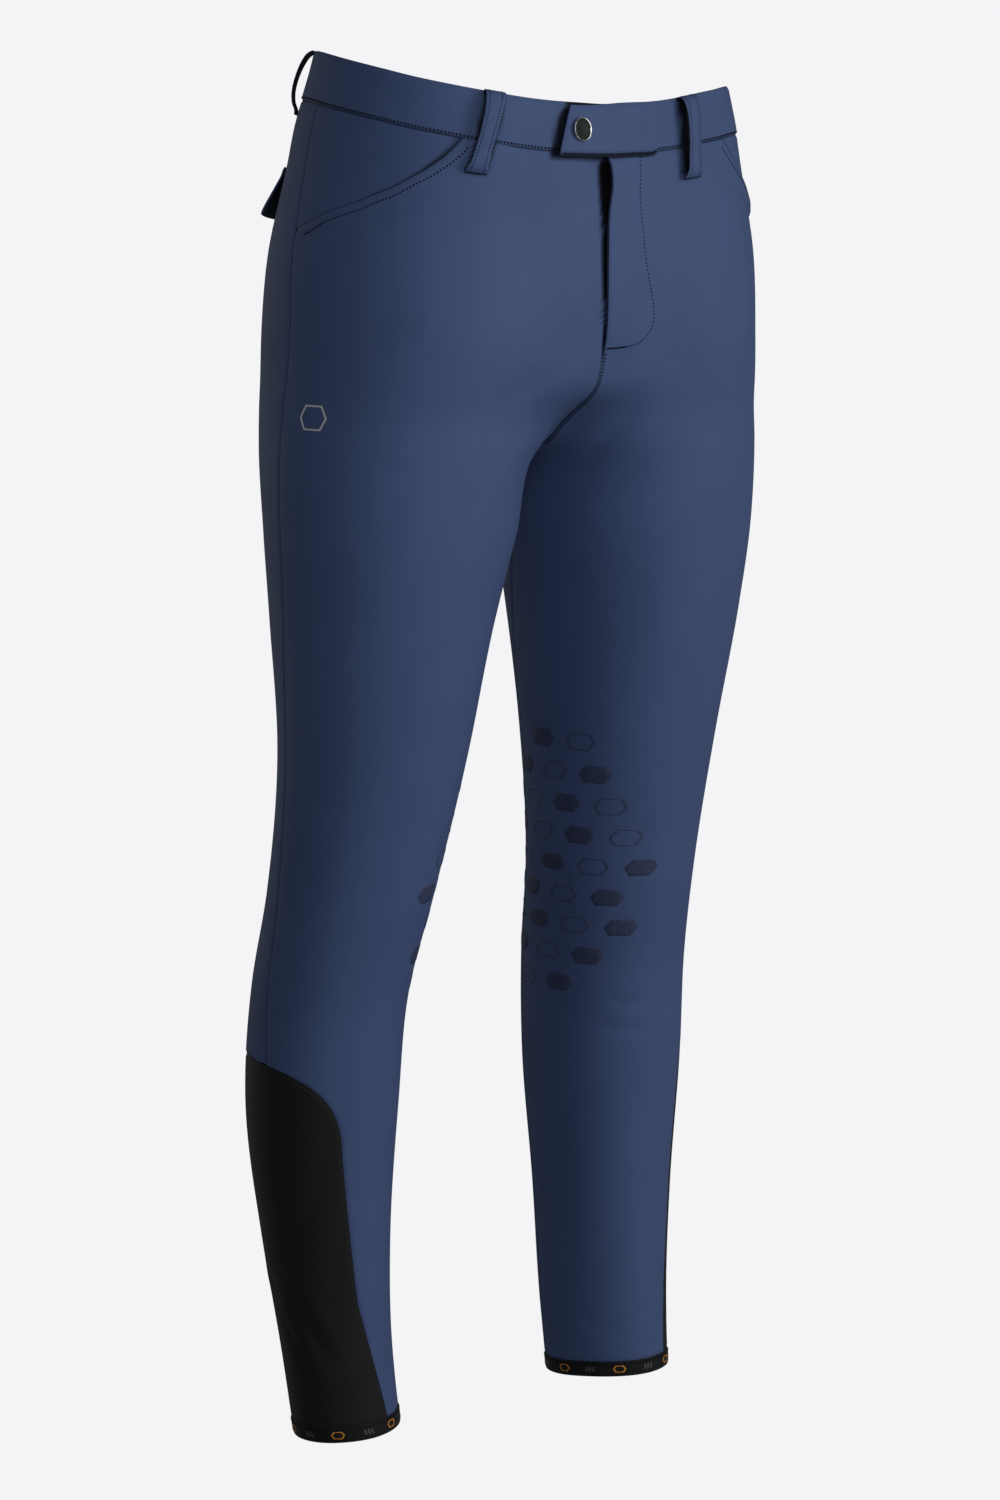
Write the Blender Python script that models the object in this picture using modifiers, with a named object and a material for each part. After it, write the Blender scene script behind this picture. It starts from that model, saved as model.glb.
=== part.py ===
"""Riding breeches, filled out as when worn: a hollow form, open at the waist and at both hems.

Each piece of cloth that is cut and sewn is one closed wall. All of them lie on one base surface,
the two leg tubes run together above the crotch. A place on it is given by the leg, by the level
below the waist edge, and by the angle round that leg's own axis: 0 points outward, -90 to the
front, 90 to the back and 180 to the other leg. What lies on a panel is made from the same
surface, moved out. Sizes are in millimetres and degrees until a mesh is made.
The wearer faces -Y, the wearer's left is +X, and the origin is the middle of the waist.
"""

import bmesh
import bpy
import numpy as np
from mathutils import Matrix, Vector

MM = 0.001
RIGHT, LEFT = -1, 1
SIDES = ((RIGHT, "right"), (LEFT, "left"))

# The sections of one leg's tube. Outer, inner, front and back are its reaches from its axis,
# turn is how far they are turned to the front, and web rounds the fork where the legs meet.
SECTION_COLUMNS = ("height", "axis_out", "axis_back", "outer", "inner", "front", "back", "turn", "web")
SECTIONS = (
    (30, 55, 0, 78, 140, 93, 84, 0, 40),
    (0, 55, 0, 84.5, 140, 93, 94, 0, 40),
    (-40, 58, 1, 91.5, 143, 98, 107.5, 0, 40),
    (-60, 60, 2, 93, 145, 101, 110, 0, 40),
    (-120, 68, 6, 98, 160, 107, 114, 0, 40),
    (-175, 76, 10, 93, 178, 110, 114, 0, 40),
    (-200, 79, 11, 92, 160, 106, 111, 2, 38),
    (-220, 81, 12, 92, 106, 102, 107, 3, 32),
    (-245, 84, 12, 91, 84, 99, 103, 5, 28),
    (-300, 90, 14, 84, 78, 94, 94, 10, 24),
    (-360, 94, 18, 76, 70, 85, 85, 14, 20),
    (-450, 98, 26, 65, 61, 70, 72, 16, 16),
    (-550, 106, 46, 57, 55, 61, 62, 14, 12),
    (-620, 113, 64, 54, 53, 60, 62, 16, 10),
    (-700, 117, 70, 53, 52, 57, 62, 16, 10),
    (-800, 116, 68, 45, 44, 51, 54, 20, 10),
    (-880, 113, 60, 39, 39, 47, 50, 28, 10),
    (-940, 110, 50, 38, 38, 46, 47, 28, 10),
    (-990, 106, 38, 39, 39, 48, 47, 28, 10),
)
SQUARENESS = 2.15  # the exponent of a section, where 2 is an ellipse
SHORTEST_REACH, LONGEST_REACH = 5, 320
HALVINGS = 36  # that narrow down the reach of a ray
SLOPE_STEP = 0.5
FORK_BETWEEN = (200, 330)  # levels

# The height of the waist edge at an angle round the right and the left leg. It dips in front, and
# the right hip stands higher than the left. Below it the seams level out between two levels.
WAIST_EDGE = (
    (-118, -24.9, -24.9),
    (-96, -22.7, -22),
    (-75, -18.2, -16.5),
    (-50, -10.6, -11.2),
    (-30, -3.4, -10.8),
    (-5, 3.8, -12.5),
    (24, 9.6, -17.6),
    (45, 10.2, -20.6),
    (65, 7.4, -19.5),
    (90, 1.8, -14),
    (117, -7.4, -7.4),
)
LEVELLING = (31, 130)
HEM_TILT = 6  # the hem is lower behind by this much on each side of its middle
HEM_TILT_FROM = 700

# Levels below the waist edge.
BAND_DEPTH = 31
FLY_END = 178
POCKET_END = 104
CALF_TOP = 664
HEM_BAND_TOP = 923.5
HEM = 934

# Cloth.
CLOTH = 1.5
SEAM = 0.3  # between pieces that are sewn edge to edge
LAY = 0.6  # between a piece and what lies on it
BAND_OUTSIDE, BAND_INSIDE = 0.6, -2.0
FLY_EDGE = 2.4  # the cloth is double along the fly
HEM_BAND = 1.9

# The closing in front: how far the right side runs on below the left, and the tab over it.
UNDERLAP, UNDERLAP_END = 14, 160
TAB_REACH, TAB_SLANT = 37, 10
TAB_RISE_FROM, TAB_RISE_TO = 38, 17
TAB_DROP, TAB_DROP_FROM, TAB_DROP_TO = 2, 1, 4
FLY_RISE_FROM, FLY_RISE_TO = 36, 18

# Seams, by level: the outseam, and the turn that both legs have below the knee, in degrees.
OUTSEAM = ((0, 4), (60, 8), (110, 3), (170, 0), (280, 1), (350, 0), (420, 5), (500, 8), (584, 6), (664, 1))
LEG_TURN = ((0, 0), (430, 0), (520, 5), (600, 12), (664, 16), (758, 18), (837, 21), (872, 25), (934, 34))
LEFT_TURN_SHARE = 0.6  # the left leg turns less than the right
POCKET_MOUTH = (
    *((31, -66.2), (38, -63.5), (45, -60.4), (56, -54.4), (72, -43.4)),
    *((84, -31), (93, -16), (99, -6.9), (104, 2.6)),
)
CALF_FRONT = ((664, -57), (726, -58), (758, -60), (837, -63), (872, -68), (934, -77))
CALF_BACK = ((664, 92), (934, 92))
CALF_ARCH_HEIGHT = 62
CALF_ARCH_POWER = 2.5
INSEAM_BACK = 150  # the inner seam runs down behind the place where the knee grips
INSEAM_SWEEP = 160
MOUTH_RISE = (13, 21)  # degrees off the mouth between which the front comes to lie on the facing
FACING_TUCK = 6  # degrees that the pocket facing runs on below the front

# Levels of the rows of points. Those next to the fork crowd towards it.
UPPER_ROWS = (BAND_DEPTH + SEAM / 2, 38, 45, 56, 72, 84, 93, 99, 104, 113, 126, 142, 160, 178, 186, 204)
ABOVE_FORK = (46, 32, 20, 11, 4.5, 0.8)
BELOW_FORK = (5, 14, 30, 54, 86)
LEG_ROWS = (392, 450, 510, 570, 622)
CALF_ROWS = (666, 671, 680, 693, 710, 734, 775, 825, 875)

# The angles of the columns of points. Where a seam cuts a panel short, the columns beyond it
# stand beside it, this close to each other.
FRONT_COLUMNS = (
    *(-208, -200, -192, -183, -173, -162, -150, -137, -123),
    *(-108, -93, -78, -63, -48, -34, -21, -10, 0),
)
BACK_COLUMNS = (0, 13, 29, 45, 61, 77, 93, 108, 123, 137, 150, 162, 173)
FACING_COLUMNS = (-75, -69, -60, -48, -34, -20, -8, 0)
BAND_COLUMNS = (
    *(-142, -135, -129, -124, -119, -114, -109, -104, -98, -93, -85, -78, -70, -63, -55),
    *(-48, -34, -20, -8, 6, 13, 29, 45, 61, 77, 93, 108, 120),
)
CALF_COLUMNS = (-80, -66, -52, -39, -26, -13, 0, 13, 26, 39, 52, 66, 80)  # from the panel's middle
CLOSEST_COLUMNS = 2
CLOSEST_ROWS = 0.3  # of a row just below a corner in a panel's outline
HEM_COLUMNS = 28
SHARP_EDGE = 35  # degrees

# Belt loops: a strap's level, its stand off the waistband and its width, from its upper end to
# its foot. The front ones are longer.
FRONT_LOOP_ROWS = (
    *((1, 0.5, 13), (2, 4, 12.6), (6, 6.4, 11.6), (13, 7.4, 10.4), (23, 7.2, 10)),
    *((33, 6.2, 10), (42, 4.9, 10.6), (48, 3.6, 12), (50.5, 0.6, 13), (53, 0.5, 13.4)),
)
REAR_LOOP_ROWS = (
    *((1, 0.5, 13), (2, 2.8, 12.6), (5, 4.9, 11.6), (10, 6.5, 10.4), (17, 7.4, 10)),
    *((23, 7.3, 10), (28.5, 6.4, 10.6), (34, 4, 12), (37.5, 0.6, 13), (40.5, 0.5, 13.4)),
)
LOOP_CLOTH = 1.7
LOOP_FOOT_FROM, LOOP_FOOT_TO = 35, 46
# The name of each loop, its rows, its leg, its angles at the top and at the foot, and how much
# farther off its foot is, where it lies on a pocket's raised mouth.
BELT_LOOPS = (
    ("front_right", FRONT_LOOP_ROWS, RIGHT, -77, -71.6, 1.9),
    ("front_left", FRONT_LOOP_ROWS, LEFT, -84.5, -86.8, 0.9),
    ("rear_right", REAR_LOOP_ROWS, RIGHT, 46, 45, 0),
    ("rear_left", REAR_LOOP_ROWS, LEFT, 46, 45, 0),
)

# Back pocket flaps: a row's level and stand off the seat, and the angles of the flap's sides.
FLAP_ROWS = ((71, 0.5), (75, 0.9), (81, 2.8), (88, 5.2), (94, 7.2), (98.5, 8.4))
FLAP_FROM, FLAP_TO = 43, 98
FLAP_CLOTH = 2.2
FLAP_POINT = 3  # the middle of the lower edge hangs lower than its corners
FLAP_COLUMNS = 9

# The snap on the tab.
SNAP_OUT, SNAP_LEVEL = -20.5, 16.5
SNAP_RADIUS, SNAP_RIM, SNAP_HEIGHT = 7.2, 1.5, 2.2
SNAP_PLAY = 0.3
RIM_CREST, RIM_EDGE = 0.3, 0.9  # how far the rim's inner and outer edges lie below its crest
CAP_SINK, CAP_EDGE = 0.5, 0.8  # the same of the cap's middle and its edge
TURNED_STEPS = 32

BLUE = (0.053, 0.078, 0.156)
BLACK = (0.010, 0.010, 0.011)
# The colour, roughness and metallic value of each finish.
FINISHES = {
    "stretch_cloth": (BLUE, 0.62, 0.0),
    "elastic_cloth": (BLACK, 0.85, 0.0),
    "hem_elastic": (BLACK, 0.7, 0.0),
    "bright_metal": ((0.75, 0.75, 0.74), 0.2, 1.0),
    "dark_enamel": ((0.012, 0.02, 0.018), 0.3, 0.0),
}


def smooth(value, start, end):
    """0 at the start, 1 at the end, and level at both."""
    part = np.clip((np.asarray(value, float) - start) / (end - start), 0, 1)
    return part * part * (3 - 2 * part)


def smooth_table(table, at):
    """The columns of a table at the given places, on a smooth curve through its rows."""
    rows = np.array(sorted(table), float)
    places = rows[:, 0]
    at = np.clip(np.asarray(at, float), places[0], places[-1])
    index = np.clip(np.searchsorted(places, at, side="right") - 1, 0, len(places) - 2)
    steps = np.diff(places)[:, None]
    slopes = np.diff(rows, axis=0) / steps
    middle = (slopes[:-1] * steps[1:] + slopes[1:] * steps[:-1]) / (steps[1:] + steps[:-1])
    tangents = np.vstack([slopes[:1], middle, slopes[-1:]])
    step = (places[index + 1] - places[index])[..., None]
    part = (at - places[index])[..., None] / step
    start_weight = 2 * part**3 - 3 * part**2 + 1
    start_tangent = (part**3 - 2 * part**2 + part) * step
    end_tangent = (part**3 - part**2) * step
    return (
        start_weight * rows[index]
        + (1 - start_weight) * rows[index + 1]
        + start_tangent * tangents[index]
        + end_tangent * tangents[index + 1]
    )


def straight_table(table, at):
    places, values = zip(*table)
    return np.interp(at, places, values)


# The base surface.


def section(height):
    values = smooth_table(SECTIONS, height)
    return {name: values[..., column] for column, name in enumerate(SECTION_COLUMNS)}


def outside_leg(leg, out, back):
    """How far a place lies outside one leg's section, along the ray from the leg's axis."""
    from_axis_out, from_axis_back = out - leg["axis_out"], back - leg["axis_back"]
    turn = np.radians(leg["turn"])
    across = from_axis_out * np.cos(turn) + from_axis_back * np.sin(turn)
    along = from_axis_back * np.cos(turn) - from_axis_out * np.sin(turn)
    across_reach = np.where(across > 0, leg["outer"], leg["inner"])
    along_reach = np.where(along > 0, leg["back"], leg["front"])
    ratio = np.abs(across / across_reach) ** SQUARENESS + np.abs(along / along_reach) ** SQUARENESS
    ratio = np.maximum(ratio ** (1 / SQUARENESS), 1e-6)
    return np.hypot(from_axis_out, from_axis_back) * (1 - 1 / ratio)


def outside(height, out, back):
    """How far a place lies outside both legs together, which blend where they meet."""
    leg = section(height)
    own, other = outside_leg(leg, out, back), outside_leg(leg, -out, back)
    blend = np.maximum(leg["web"] - np.abs(own - other), 0) / leg["web"]
    return np.minimum(own, other) - blend * blend * leg["web"] / 4


def first_crossing(measure, inner, outer):
    """The place between inner and outer where the measure turns from negative to positive."""
    inner, outer = np.array(inner, float), np.array(outer, float)
    for _ in range(HALVINGS):
        middle = (inner + outer) / 2
        is_inside = measure(middle) < 0
        inner = np.where(is_inside, middle, inner)
        outer = np.where(is_inside, outer, middle)
    return (inner + outer) / 2


def surface(height, angle, past_middle):
    """The out and back places of the surface. A ray stops at the middle unless it may pass it."""
    leg = section(height)
    out_part, back_part = np.cos(np.radians(angle)), np.sin(np.radians(angle))
    farthest = np.full_like(out_part, LONGEST_REACH)
    if not past_middle:
        to_middle = leg["axis_out"] / np.maximum(-out_part, 1e-6)
        farthest = np.where(out_part < 0, np.minimum(to_middle, farthest), farthest)

    def measure(reach):
        return outside(height, leg["axis_out"] + reach * out_part, leg["axis_back"] + reach * back_part)

    reach = first_crossing(measure, np.full_like(out_part, SHORTEST_REACH), farthest)
    return leg["axis_out"] + reach * out_part, leg["axis_back"] + reach * back_part


def normals(height, out, back):
    step = SLOPE_STEP
    slope = np.stack(
        [
            outside(height, out + step, back) - outside(height, out - step, back),
            outside(height, out, back + step) - outside(height, out, back - step),
            outside(height + step, out, back) - outside(height - step, out, back),
        ],
        axis=-1,
    )
    return slope / np.linalg.norm(slope, axis=-1, keepdims=True)


def height_of(level, angle, side):
    """The height of a level, which follows the waist edge above and the tilt of the hem below."""
    level, angle = np.asarray(level, float), np.asarray(angle, float)
    edge = smooth_table(WAIST_EDGE, angle)[..., 1 if side == RIGHT else 2]
    hem = HEM_TILT * np.sin(np.radians(angle)) * smooth(level, HEM_TILT_FROM, HEM)
    return -level + edge * (1 - smooth(level, *LEVELLING)) - hem


def place(side, level, angle, off, past_middle=False):
    """Points at a distance off the surface, on the given leg, as out, back and height."""
    level, angle, off = np.broadcast_arrays(*(np.asarray(value, float) for value in (level, angle, off)))
    height = height_of(level, angle, side)
    out, back = surface(height, angle, past_middle)
    points = np.stack([out, back, height], axis=-1) + normals(height, out, back) * off[..., None]
    if not past_middle:
        points[..., 0] = np.maximum(points[..., 0], SEAM / 2)
    return points * (side, 1, 1)


def front_angle(level, out):
    """The angle of the place on the front whose distance from the middle is out."""
    height = height_of(level, -180, RIGHT)
    leg = section(height)
    reach = first_crossing(lambda ahead: outside(height, out, leg["axis_back"] - ahead), 0.0, LONGEST_REACH)
    return np.degrees(np.arctan2(-reach, out - leg["axis_out"]))


def back_angle(level, out):
    height = height_of(level, 180, RIGHT)
    leg = section(height)
    reach = first_crossing(lambda behind: outside(height, out, leg["axis_back"] + behind), 0.0, LONGEST_REACH)
    return np.degrees(np.arctan2(reach, out - leg["axis_out"]))


def find_fork():
    """The level of the crotch, where the middle is last inside the cloth, and its angle."""
    places = np.linspace(-LONGEST_REACH, LONGEST_REACH, 2 * LONGEST_REACH + 1)

    def middle(level):
        return outside(np.full_like(places, -level), np.zeros_like(places), places)

    level = first_crossing(lambda at: middle(at).min(), *FORK_BETWEEN)
    leg = section(-level)
    back = places[middle(level).argmin()]
    return float(level), float(np.degrees(np.arctan2(back - leg["axis_back"], -leg["axis_out"])))


FORK, FORK_ANGLE = find_fork()


# Seam lines: the angle of each at a level.


def leg_turn(level, side):
    share = LEFT_TURN_SHARE if side == LEFT else 1
    return side * share * straight_table(LEG_TURN, level)


def outseam(level, side):
    return smooth_table(OUTSEAM, level)[1] + leg_turn(level, side)


def inseam(level):
    return FORK_ANGLE + (INSEAM_BACK - FORK_ANGLE) * smooth(level, FORK, FORK + INSEAM_SWEEP)


def front_middle(level):
    if level < FORK:
        return front_angle(level, 0.0) if level < FORK - 1 else FORK_ANGLE - 360
    return inseam(level) - 360


def back_middle(level):
    if level < FORK:
        return back_angle(level, 0.0) if level < FORK - 1 else FORK_ANGLE
    return inseam(level)


def pocket_mouth(level):
    return straight_table(POCKET_MOUTH, level)


def calf_sides(level, side, top):
    """The front and back edges of the calf panel, whose upper end is an arch."""
    front, back = straight_table(CALF_FRONT, level), straight_table(CALF_BACK, level)
    middle, half = (front + back) / 2, (back - front) / 2
    up = 1 - np.clip((level - top) / CALF_ARCH_HEIGHT, 0, 1)
    half = half * (1 - up**CALF_ARCH_POWER) ** (1 / CALF_ARCH_POWER)
    turn = leg_turn(level, side)
    return middle - half + turn, middle + half + turn


def half_seam(level, angle, side):
    """The angle that spans half of the gap between two sewn edges."""
    height = height_of(level, angle, side)
    out, back = surface(height, np.array(angle, float), False)
    leg = section(height)
    return float(np.degrees(SEAM / 2 / np.hypot(out - leg["axis_out"], back - leg["axis_back"])))


def fitted(columns, start, end):
    """The columns from start to end. Those that lie beyond an end stand close beside it."""
    index = np.arange(len(columns))
    step = min(CLOSEST_COLUMNS, 0.9 * (end - start) / index[-1])
    angles = np.clip(np.array(columns, float), start + step * index, end - step * index[::-1])
    angles[0], angles[-1] = start, end
    return angles


# Making the pieces.


def new_piece(name, points, faces, finish):
    mesh = bpy.data.meshes.new(name)
    mesh.from_pydata([tuple(point * MM) for point in points], [], faces)
    form = bmesh.new()
    form.from_mesh(mesh)
    bmesh.ops.recalc_face_normals(form, faces=form.faces)
    form.to_mesh(mesh)
    form.free()
    mesh.shade_smooth()
    mesh.set_sharp_from_angle(angle=np.radians(SHARP_EDGE))
    mesh.materials.append(finishes[finish])
    piece = bpy.data.objects.new(name, mesh)
    garment.objects.link(piece)
    piece.parent = waist
    return piece


def loft(name, outer, inner, finish, round_trip=False):
    """A closed wall between an outer and an inner grid of points, for instance of a panel."""
    rows, columns = outer.shape[:2]
    points = np.concatenate([outer.reshape(-1, 3), inner.reshape(-1, 3)])
    inner_start = rows * columns

    def corner(row, column):
        return row * columns + column % columns

    faces = []
    last = columns if round_trip else columns - 1
    for row in range(rows - 1):
        for column in range(last):
            upper = [corner(row, column), corner(row, column + 1)]
            lower = [corner(row + 1, column + 1), corner(row + 1, column)]
            face = upper + lower
            faces.append(face)
            faces.append([inner_start + index for index in reversed(face)])
    for column in range(last):
        for row in (0, rows - 1):
            start, end = corner(row, column), corner(row, column + 1)
            faces.append([start, end, inner_start + end, inner_start + start])
    if not round_trip:
        for row in range(rows - 1):
            for column in (0, columns - 1):
                start, end = corner(row, column), corner(row + 1, column)
                faces.append([start, end, inner_start + end, inner_start + start])
    return new_piece(name, points, faces, finish)


def panel(name, side, levels, angles_at, offs_at, finish="stretch_cloth", laps_to=0):
    """A wall whose rows are at the levels. Down to laps_to it may run on past the middle.

    offs_at gives the distances of its outside and inside off the base surface.
    """
    outer, inner = [], []
    for level in levels:
        angles = angles_at(level)
        outside_off, inside_off = offs_at(level, angles)
        outer.append(place(side, level, angles, outside_off, level <= laps_to))
        inner.append(place(side, level, angles, inside_off, level <= laps_to))
    return loft(name, np.array(outer), np.array(inner), finish)


def leg_levels():
    """The levels of the rows of a front or back of a leg."""
    above = [FORK - step for step in ABOVE_FORK]
    below = [FORK + step for step in BELOW_FORK]
    upper = [*UPPER_ROWS, *above, FORK + CLOSEST_ROWS, *below]
    return [*upper, *LEG_ROWS, CALF_TOP, CALF_TOP + CLOSEST_ROWS, *CALF_ROWS, HEM_BAND_TOP]


def front_leg(side, name):
    """The front of a leg, from the fly and the inner seam to the pocket mouth and the outseam."""

    def end_angle(level):
        if level <= POCKET_END:
            return pocket_mouth(level)
        if level <= CALF_TOP:
            return outseam(level, side)
        return min(outseam(CALF_TOP, side), calf_sides(level, side, CALF_TOP)[0])

    def start_angle(level):
        if side == RIGHT and level <= UNDERLAP_END:
            return float(front_angle(level, -UNDERLAP))
        return float(front_middle(level))

    def angles_at(level):
        start, end = start_angle(level), float(end_angle(level))
        start_gap = half_seam(level, start, side)
        end_gap = half_seam(level, end, side)
        return fitted(FRONT_COLUMNS, start + start_gap, end - end_gap)

    def offs_at(level, angles):
        at_mouth, at_fly = np.zeros_like(angles), np.zeros_like(angles)
        if level <= POCKET_END:
            from_mouth = end_angle(level) - angles
            at_mouth = 1 - smooth(from_mouth, *MOUTH_RISE)
        if side == LEFT and level <= FLY_END:
            out = place(LEFT, level, angles, 0.0)[..., 0]
            at_fly = 1 - smooth(out, FLY_RISE_TO, FLY_RISE_FROM)
        inside_off = np.maximum(at_mouth, at_fly) * (LAY + CLOTH) - CLOTH
        return np.maximum(at_mouth * (LAY + CLOTH), at_fly * (LAY + FLY_EDGE)), inside_off

    laps_to = UNDERLAP_END if side == RIGHT else 0
    panel("front_leg_" + name, side, leg_levels(), angles_at, offs_at, laps_to=laps_to)


def back_leg(side, name):
    """The back of a leg, from the outseam to the seat seam and the inner seam."""

    def angles_at(level):
        start = outseam(min(level, CALF_TOP), side)
        if level > CALF_TOP:
            start = max(start, calf_sides(level, side, CALF_TOP)[1])
        end = float(back_middle(level))
        start_gap = half_seam(level, start, side)
        end_gap = half_seam(level, end, side)
        return fitted(BACK_COLUMNS, start + start_gap, end - end_gap)

    def offs_at(level, angles):
        return np.zeros_like(angles), np.full_like(angles, -CLOTH)

    panel("back_leg_" + name, side, leg_levels(), angles_at, offs_at)


def calf_panel(side, name):
    """The elastic panel on the outer calf, with an arched upper end."""
    top = CALF_TOP + SEAM

    def angles_at(level):
        start, end = calf_sides(level, side, top)
        start_gap = half_seam(level, start, side)
        end_gap = half_seam(level, end, side)
        columns = np.array(CALF_COLUMNS) + (start + end) / 2
        return fitted(columns, start + start_gap, end - end_gap)

    def offs_at(level, angles):
        return np.zeros_like(angles), np.full_like(angles, -CLOTH)

    levels = [top + CLOSEST_ROWS, *CALF_ROWS, HEM_BAND_TOP]
    panel("calf_panel_" + name, side, levels, angles_at, offs_at, "elastic_cloth")


def pocket_facing(side, name):
    """The piece of the hip that shows above the pocket mouth and runs on below it."""

    def angles_at(level):
        start, end = pocket_mouth(level) - FACING_TUCK, float(outseam(level, side))
        end_gap = half_seam(level, end, side)
        return fitted(FACING_COLUMNS, start, end - end_gap)

    def offs_at(level, angles):
        return np.zeros_like(angles), np.full_like(angles, -CLOTH)

    levels = [level for level in UPPER_ROWS if level < POCKET_END]
    panel("pocket_facing_" + name, side, [*levels, POCKET_END - SEAM], angles_at, offs_at)


def waistband(side, name):
    """Half of the waistband. The left one ends in the tab, and the right one runs on below it."""

    def angles_at(row):
        ahead = UNDERLAP
        if side == LEFT:
            ahead = TAB_REACH - TAB_SLANT * (1 - row / BAND_DEPTH)
        start, end = float(front_angle(row, -ahead)), float(back_angle(row, 0.0))
        return fitted(BAND_COLUMNS, start, end - half_seam(row, end, side))

    def offs_at(row, angles):
        rise = np.zeros_like(angles)
        if side == LEFT:
            out = place(side, row, angles, 0.0, past_middle=True)[..., 0]
            rise = 1 - smooth(out, TAB_RISE_TO, TAB_RISE_FROM)
        lift = BAND_OUTSIDE + LAY - BAND_INSIDE
        return BAND_OUTSIDE + rise * lift, BAND_INSIDE + rise * lift

    outer, inner = [], []
    for row in (0, BAND_DEPTH / 2, BAND_DEPTH - SEAM):
        angles = angles_at(row)
        outside_off, inside_off = offs_at(row, angles)
        level = np.full_like(angles, row)
        if side == LEFT and row > BAND_DEPTH / 2:
            out = place(side, row, angles, 0.0, past_middle=True)[..., 0]
            level = level + TAB_DROP * smooth(-out, TAB_DROP_FROM, TAB_DROP_TO)
        outer.append(place(side, level, angles, outside_off, past_middle=True))
        inner.append(place(side, level, angles, inside_off, past_middle=True))
    outer, inner = np.array(outer), np.array(inner)
    for grid in (outer, inner):
        grid[:, -1, 0] = side * SEAM / 2
    loft("waistband_" + name, outer, inner, "stretch_cloth")


def hem_band(side, name):
    """The elastic band sewn on round the hem."""
    angles = np.linspace(-180, 180, HEM_COLUMNS, endpoint=False)
    outer, inner = [], []
    for level in (HEM_BAND_TOP + SEAM, (HEM_BAND_TOP + HEM) / 2, HEM):
        outer.append(place(side, level, angles, HEM_BAND - CLOTH))
        inner.append(place(side, level, angles, -CLOTH))
    loft("hem_band_" + name, np.array(outer), np.array(inner), "hem_elastic", round_trip=True)


def belt_loop(name, loop_rows, side, top_angle, foot_angle, foot_off):
    """A strap from the waist edge to below the waistband, which stands off it for a belt."""
    widths = np.array(loop_rows)[:, 2]
    rows = np.array(loop_rows)[:, :2]
    rows[:, 1] += foot_off * smooth(rows[:, 0], LOOP_FOOT_FROM, LOOP_FOOT_TO)
    along = np.gradient(rows, axis=0)
    along /= np.linalg.norm(along, axis=1, keepdims=True)
    across = np.stack([-along[:, 1], along[:, 0]], axis=1)
    down = (rows[:, 0] - rows[0, 0]) / (rows[-1, 0] - rows[0, 0])
    angles = top_angle + (foot_angle - top_angle) * down
    outer, inner = [], []
    for row, width, angle, (level_part, off_part) in zip(rows, widths, angles, across):
        step = 0.5
        near, far = place(side, row[0], np.array([angle - step, angle + step]), 0.0)
        half = width / 2 / np.linalg.norm(far - near) * 2 * step
        edges = angle + half * np.array([-1, 0, 1])
        outer_row = row + np.array([level_part, off_part]) * LOOP_CLOTH
        outer.append(place(side, outer_row[0], edges, BAND_OUTSIDE + outer_row[1]))
        inner.append(place(side, row[0], edges, BAND_OUTSIDE + row[1]))
    loft("belt_loop_" + name, np.array(outer), np.array(inner), "stretch_cloth")


def back_flap(side, name):
    """The flap of a back pocket, sewn on along its upper edge and standing off below."""
    angles = np.linspace(FLAP_FROM, FLAP_TO, FLAP_COLUMNS)
    middle = np.sin(np.linspace(0, np.pi, FLAP_COLUMNS))
    outer, inner = [], []
    for level, stand in FLAP_ROWS:
        share = (level - FLAP_ROWS[0][0]) / (FLAP_ROWS[-1][0] - FLAP_ROWS[0][0])
        hang = level + FLAP_POINT * share * middle
        outer.append(place(side, hang, angles, stand + FLAP_CLOTH))
        inner.append(place(side, hang, angles, stand))
    loft("back_flap_" + name, np.array(outer), np.array(inner), "stretch_cloth")


def turned(name, profile, finish):
    """A turned piece: its profile, as distances from the axis and heights, goes round the axis."""
    mesh = bpy.data.meshes.new(name)
    points = [(radius * MM, 0, height * MM) for radius, height in profile]
    edges = [(index, index + 1) for index in range(len(points) - 1)]
    if profile[0][0] > 0:
        edges.append((len(points) - 1, 0))
    mesh.from_pydata(points, edges, [])
    mesh.materials.append(finishes[finish])
    piece = bpy.data.objects.new(name, mesh)
    garment.objects.link(piece)
    piece.parent = waist
    screw = piece.modifiers.new("turned", "SCREW")
    screw.steps = screw.render_steps = TURNED_STEPS
    screw.use_merge_vertices = True
    screw.merge_threshold = 1e-6
    return piece


def snap():
    """The press snap that holds the tab: a bright ring round a dark centre."""
    level, angle = SNAP_LEVEL, float(front_angle(SNAP_LEVEL, SNAP_OUT))
    tab = BAND_OUTSIDE + BAND_OUTSIDE + LAY - BAND_INSIDE
    offs = np.array([tab + LAY, tab + LAY + 1])
    seat, ahead = place(LEFT, level, np.array([angle, angle]), offs, past_middle=True)
    turn = Vector((ahead - seat).tolist()).to_track_quat("Z", "Y").to_matrix().to_4x4()
    frame = Matrix.Translation(Vector((seat * MM).tolist())) @ turn
    hole = SNAP_RADIUS - SNAP_RIM
    ring = (
        (hole, SNAP_HEIGHT - RIM_CREST),
        (hole + SNAP_RIM / 2, SNAP_HEIGHT),
        (SNAP_RADIUS, SNAP_HEIGHT - RIM_EDGE),
        (SNAP_RADIUS, 0),
        (hole, 0),
    )
    edge = hole - SNAP_PLAY
    cap = ((0, SNAP_HEIGHT - CAP_SINK), (edge, SNAP_HEIGHT - CAP_EDGE), (edge, 0), (0, 0))
    for name, profile, finish in (("snap_ring", ring, "bright_metal"), ("snap_cap", cap, "dark_enamel")):
        piece = turned(name, profile, finish)
        piece.matrix_world = frame


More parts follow.
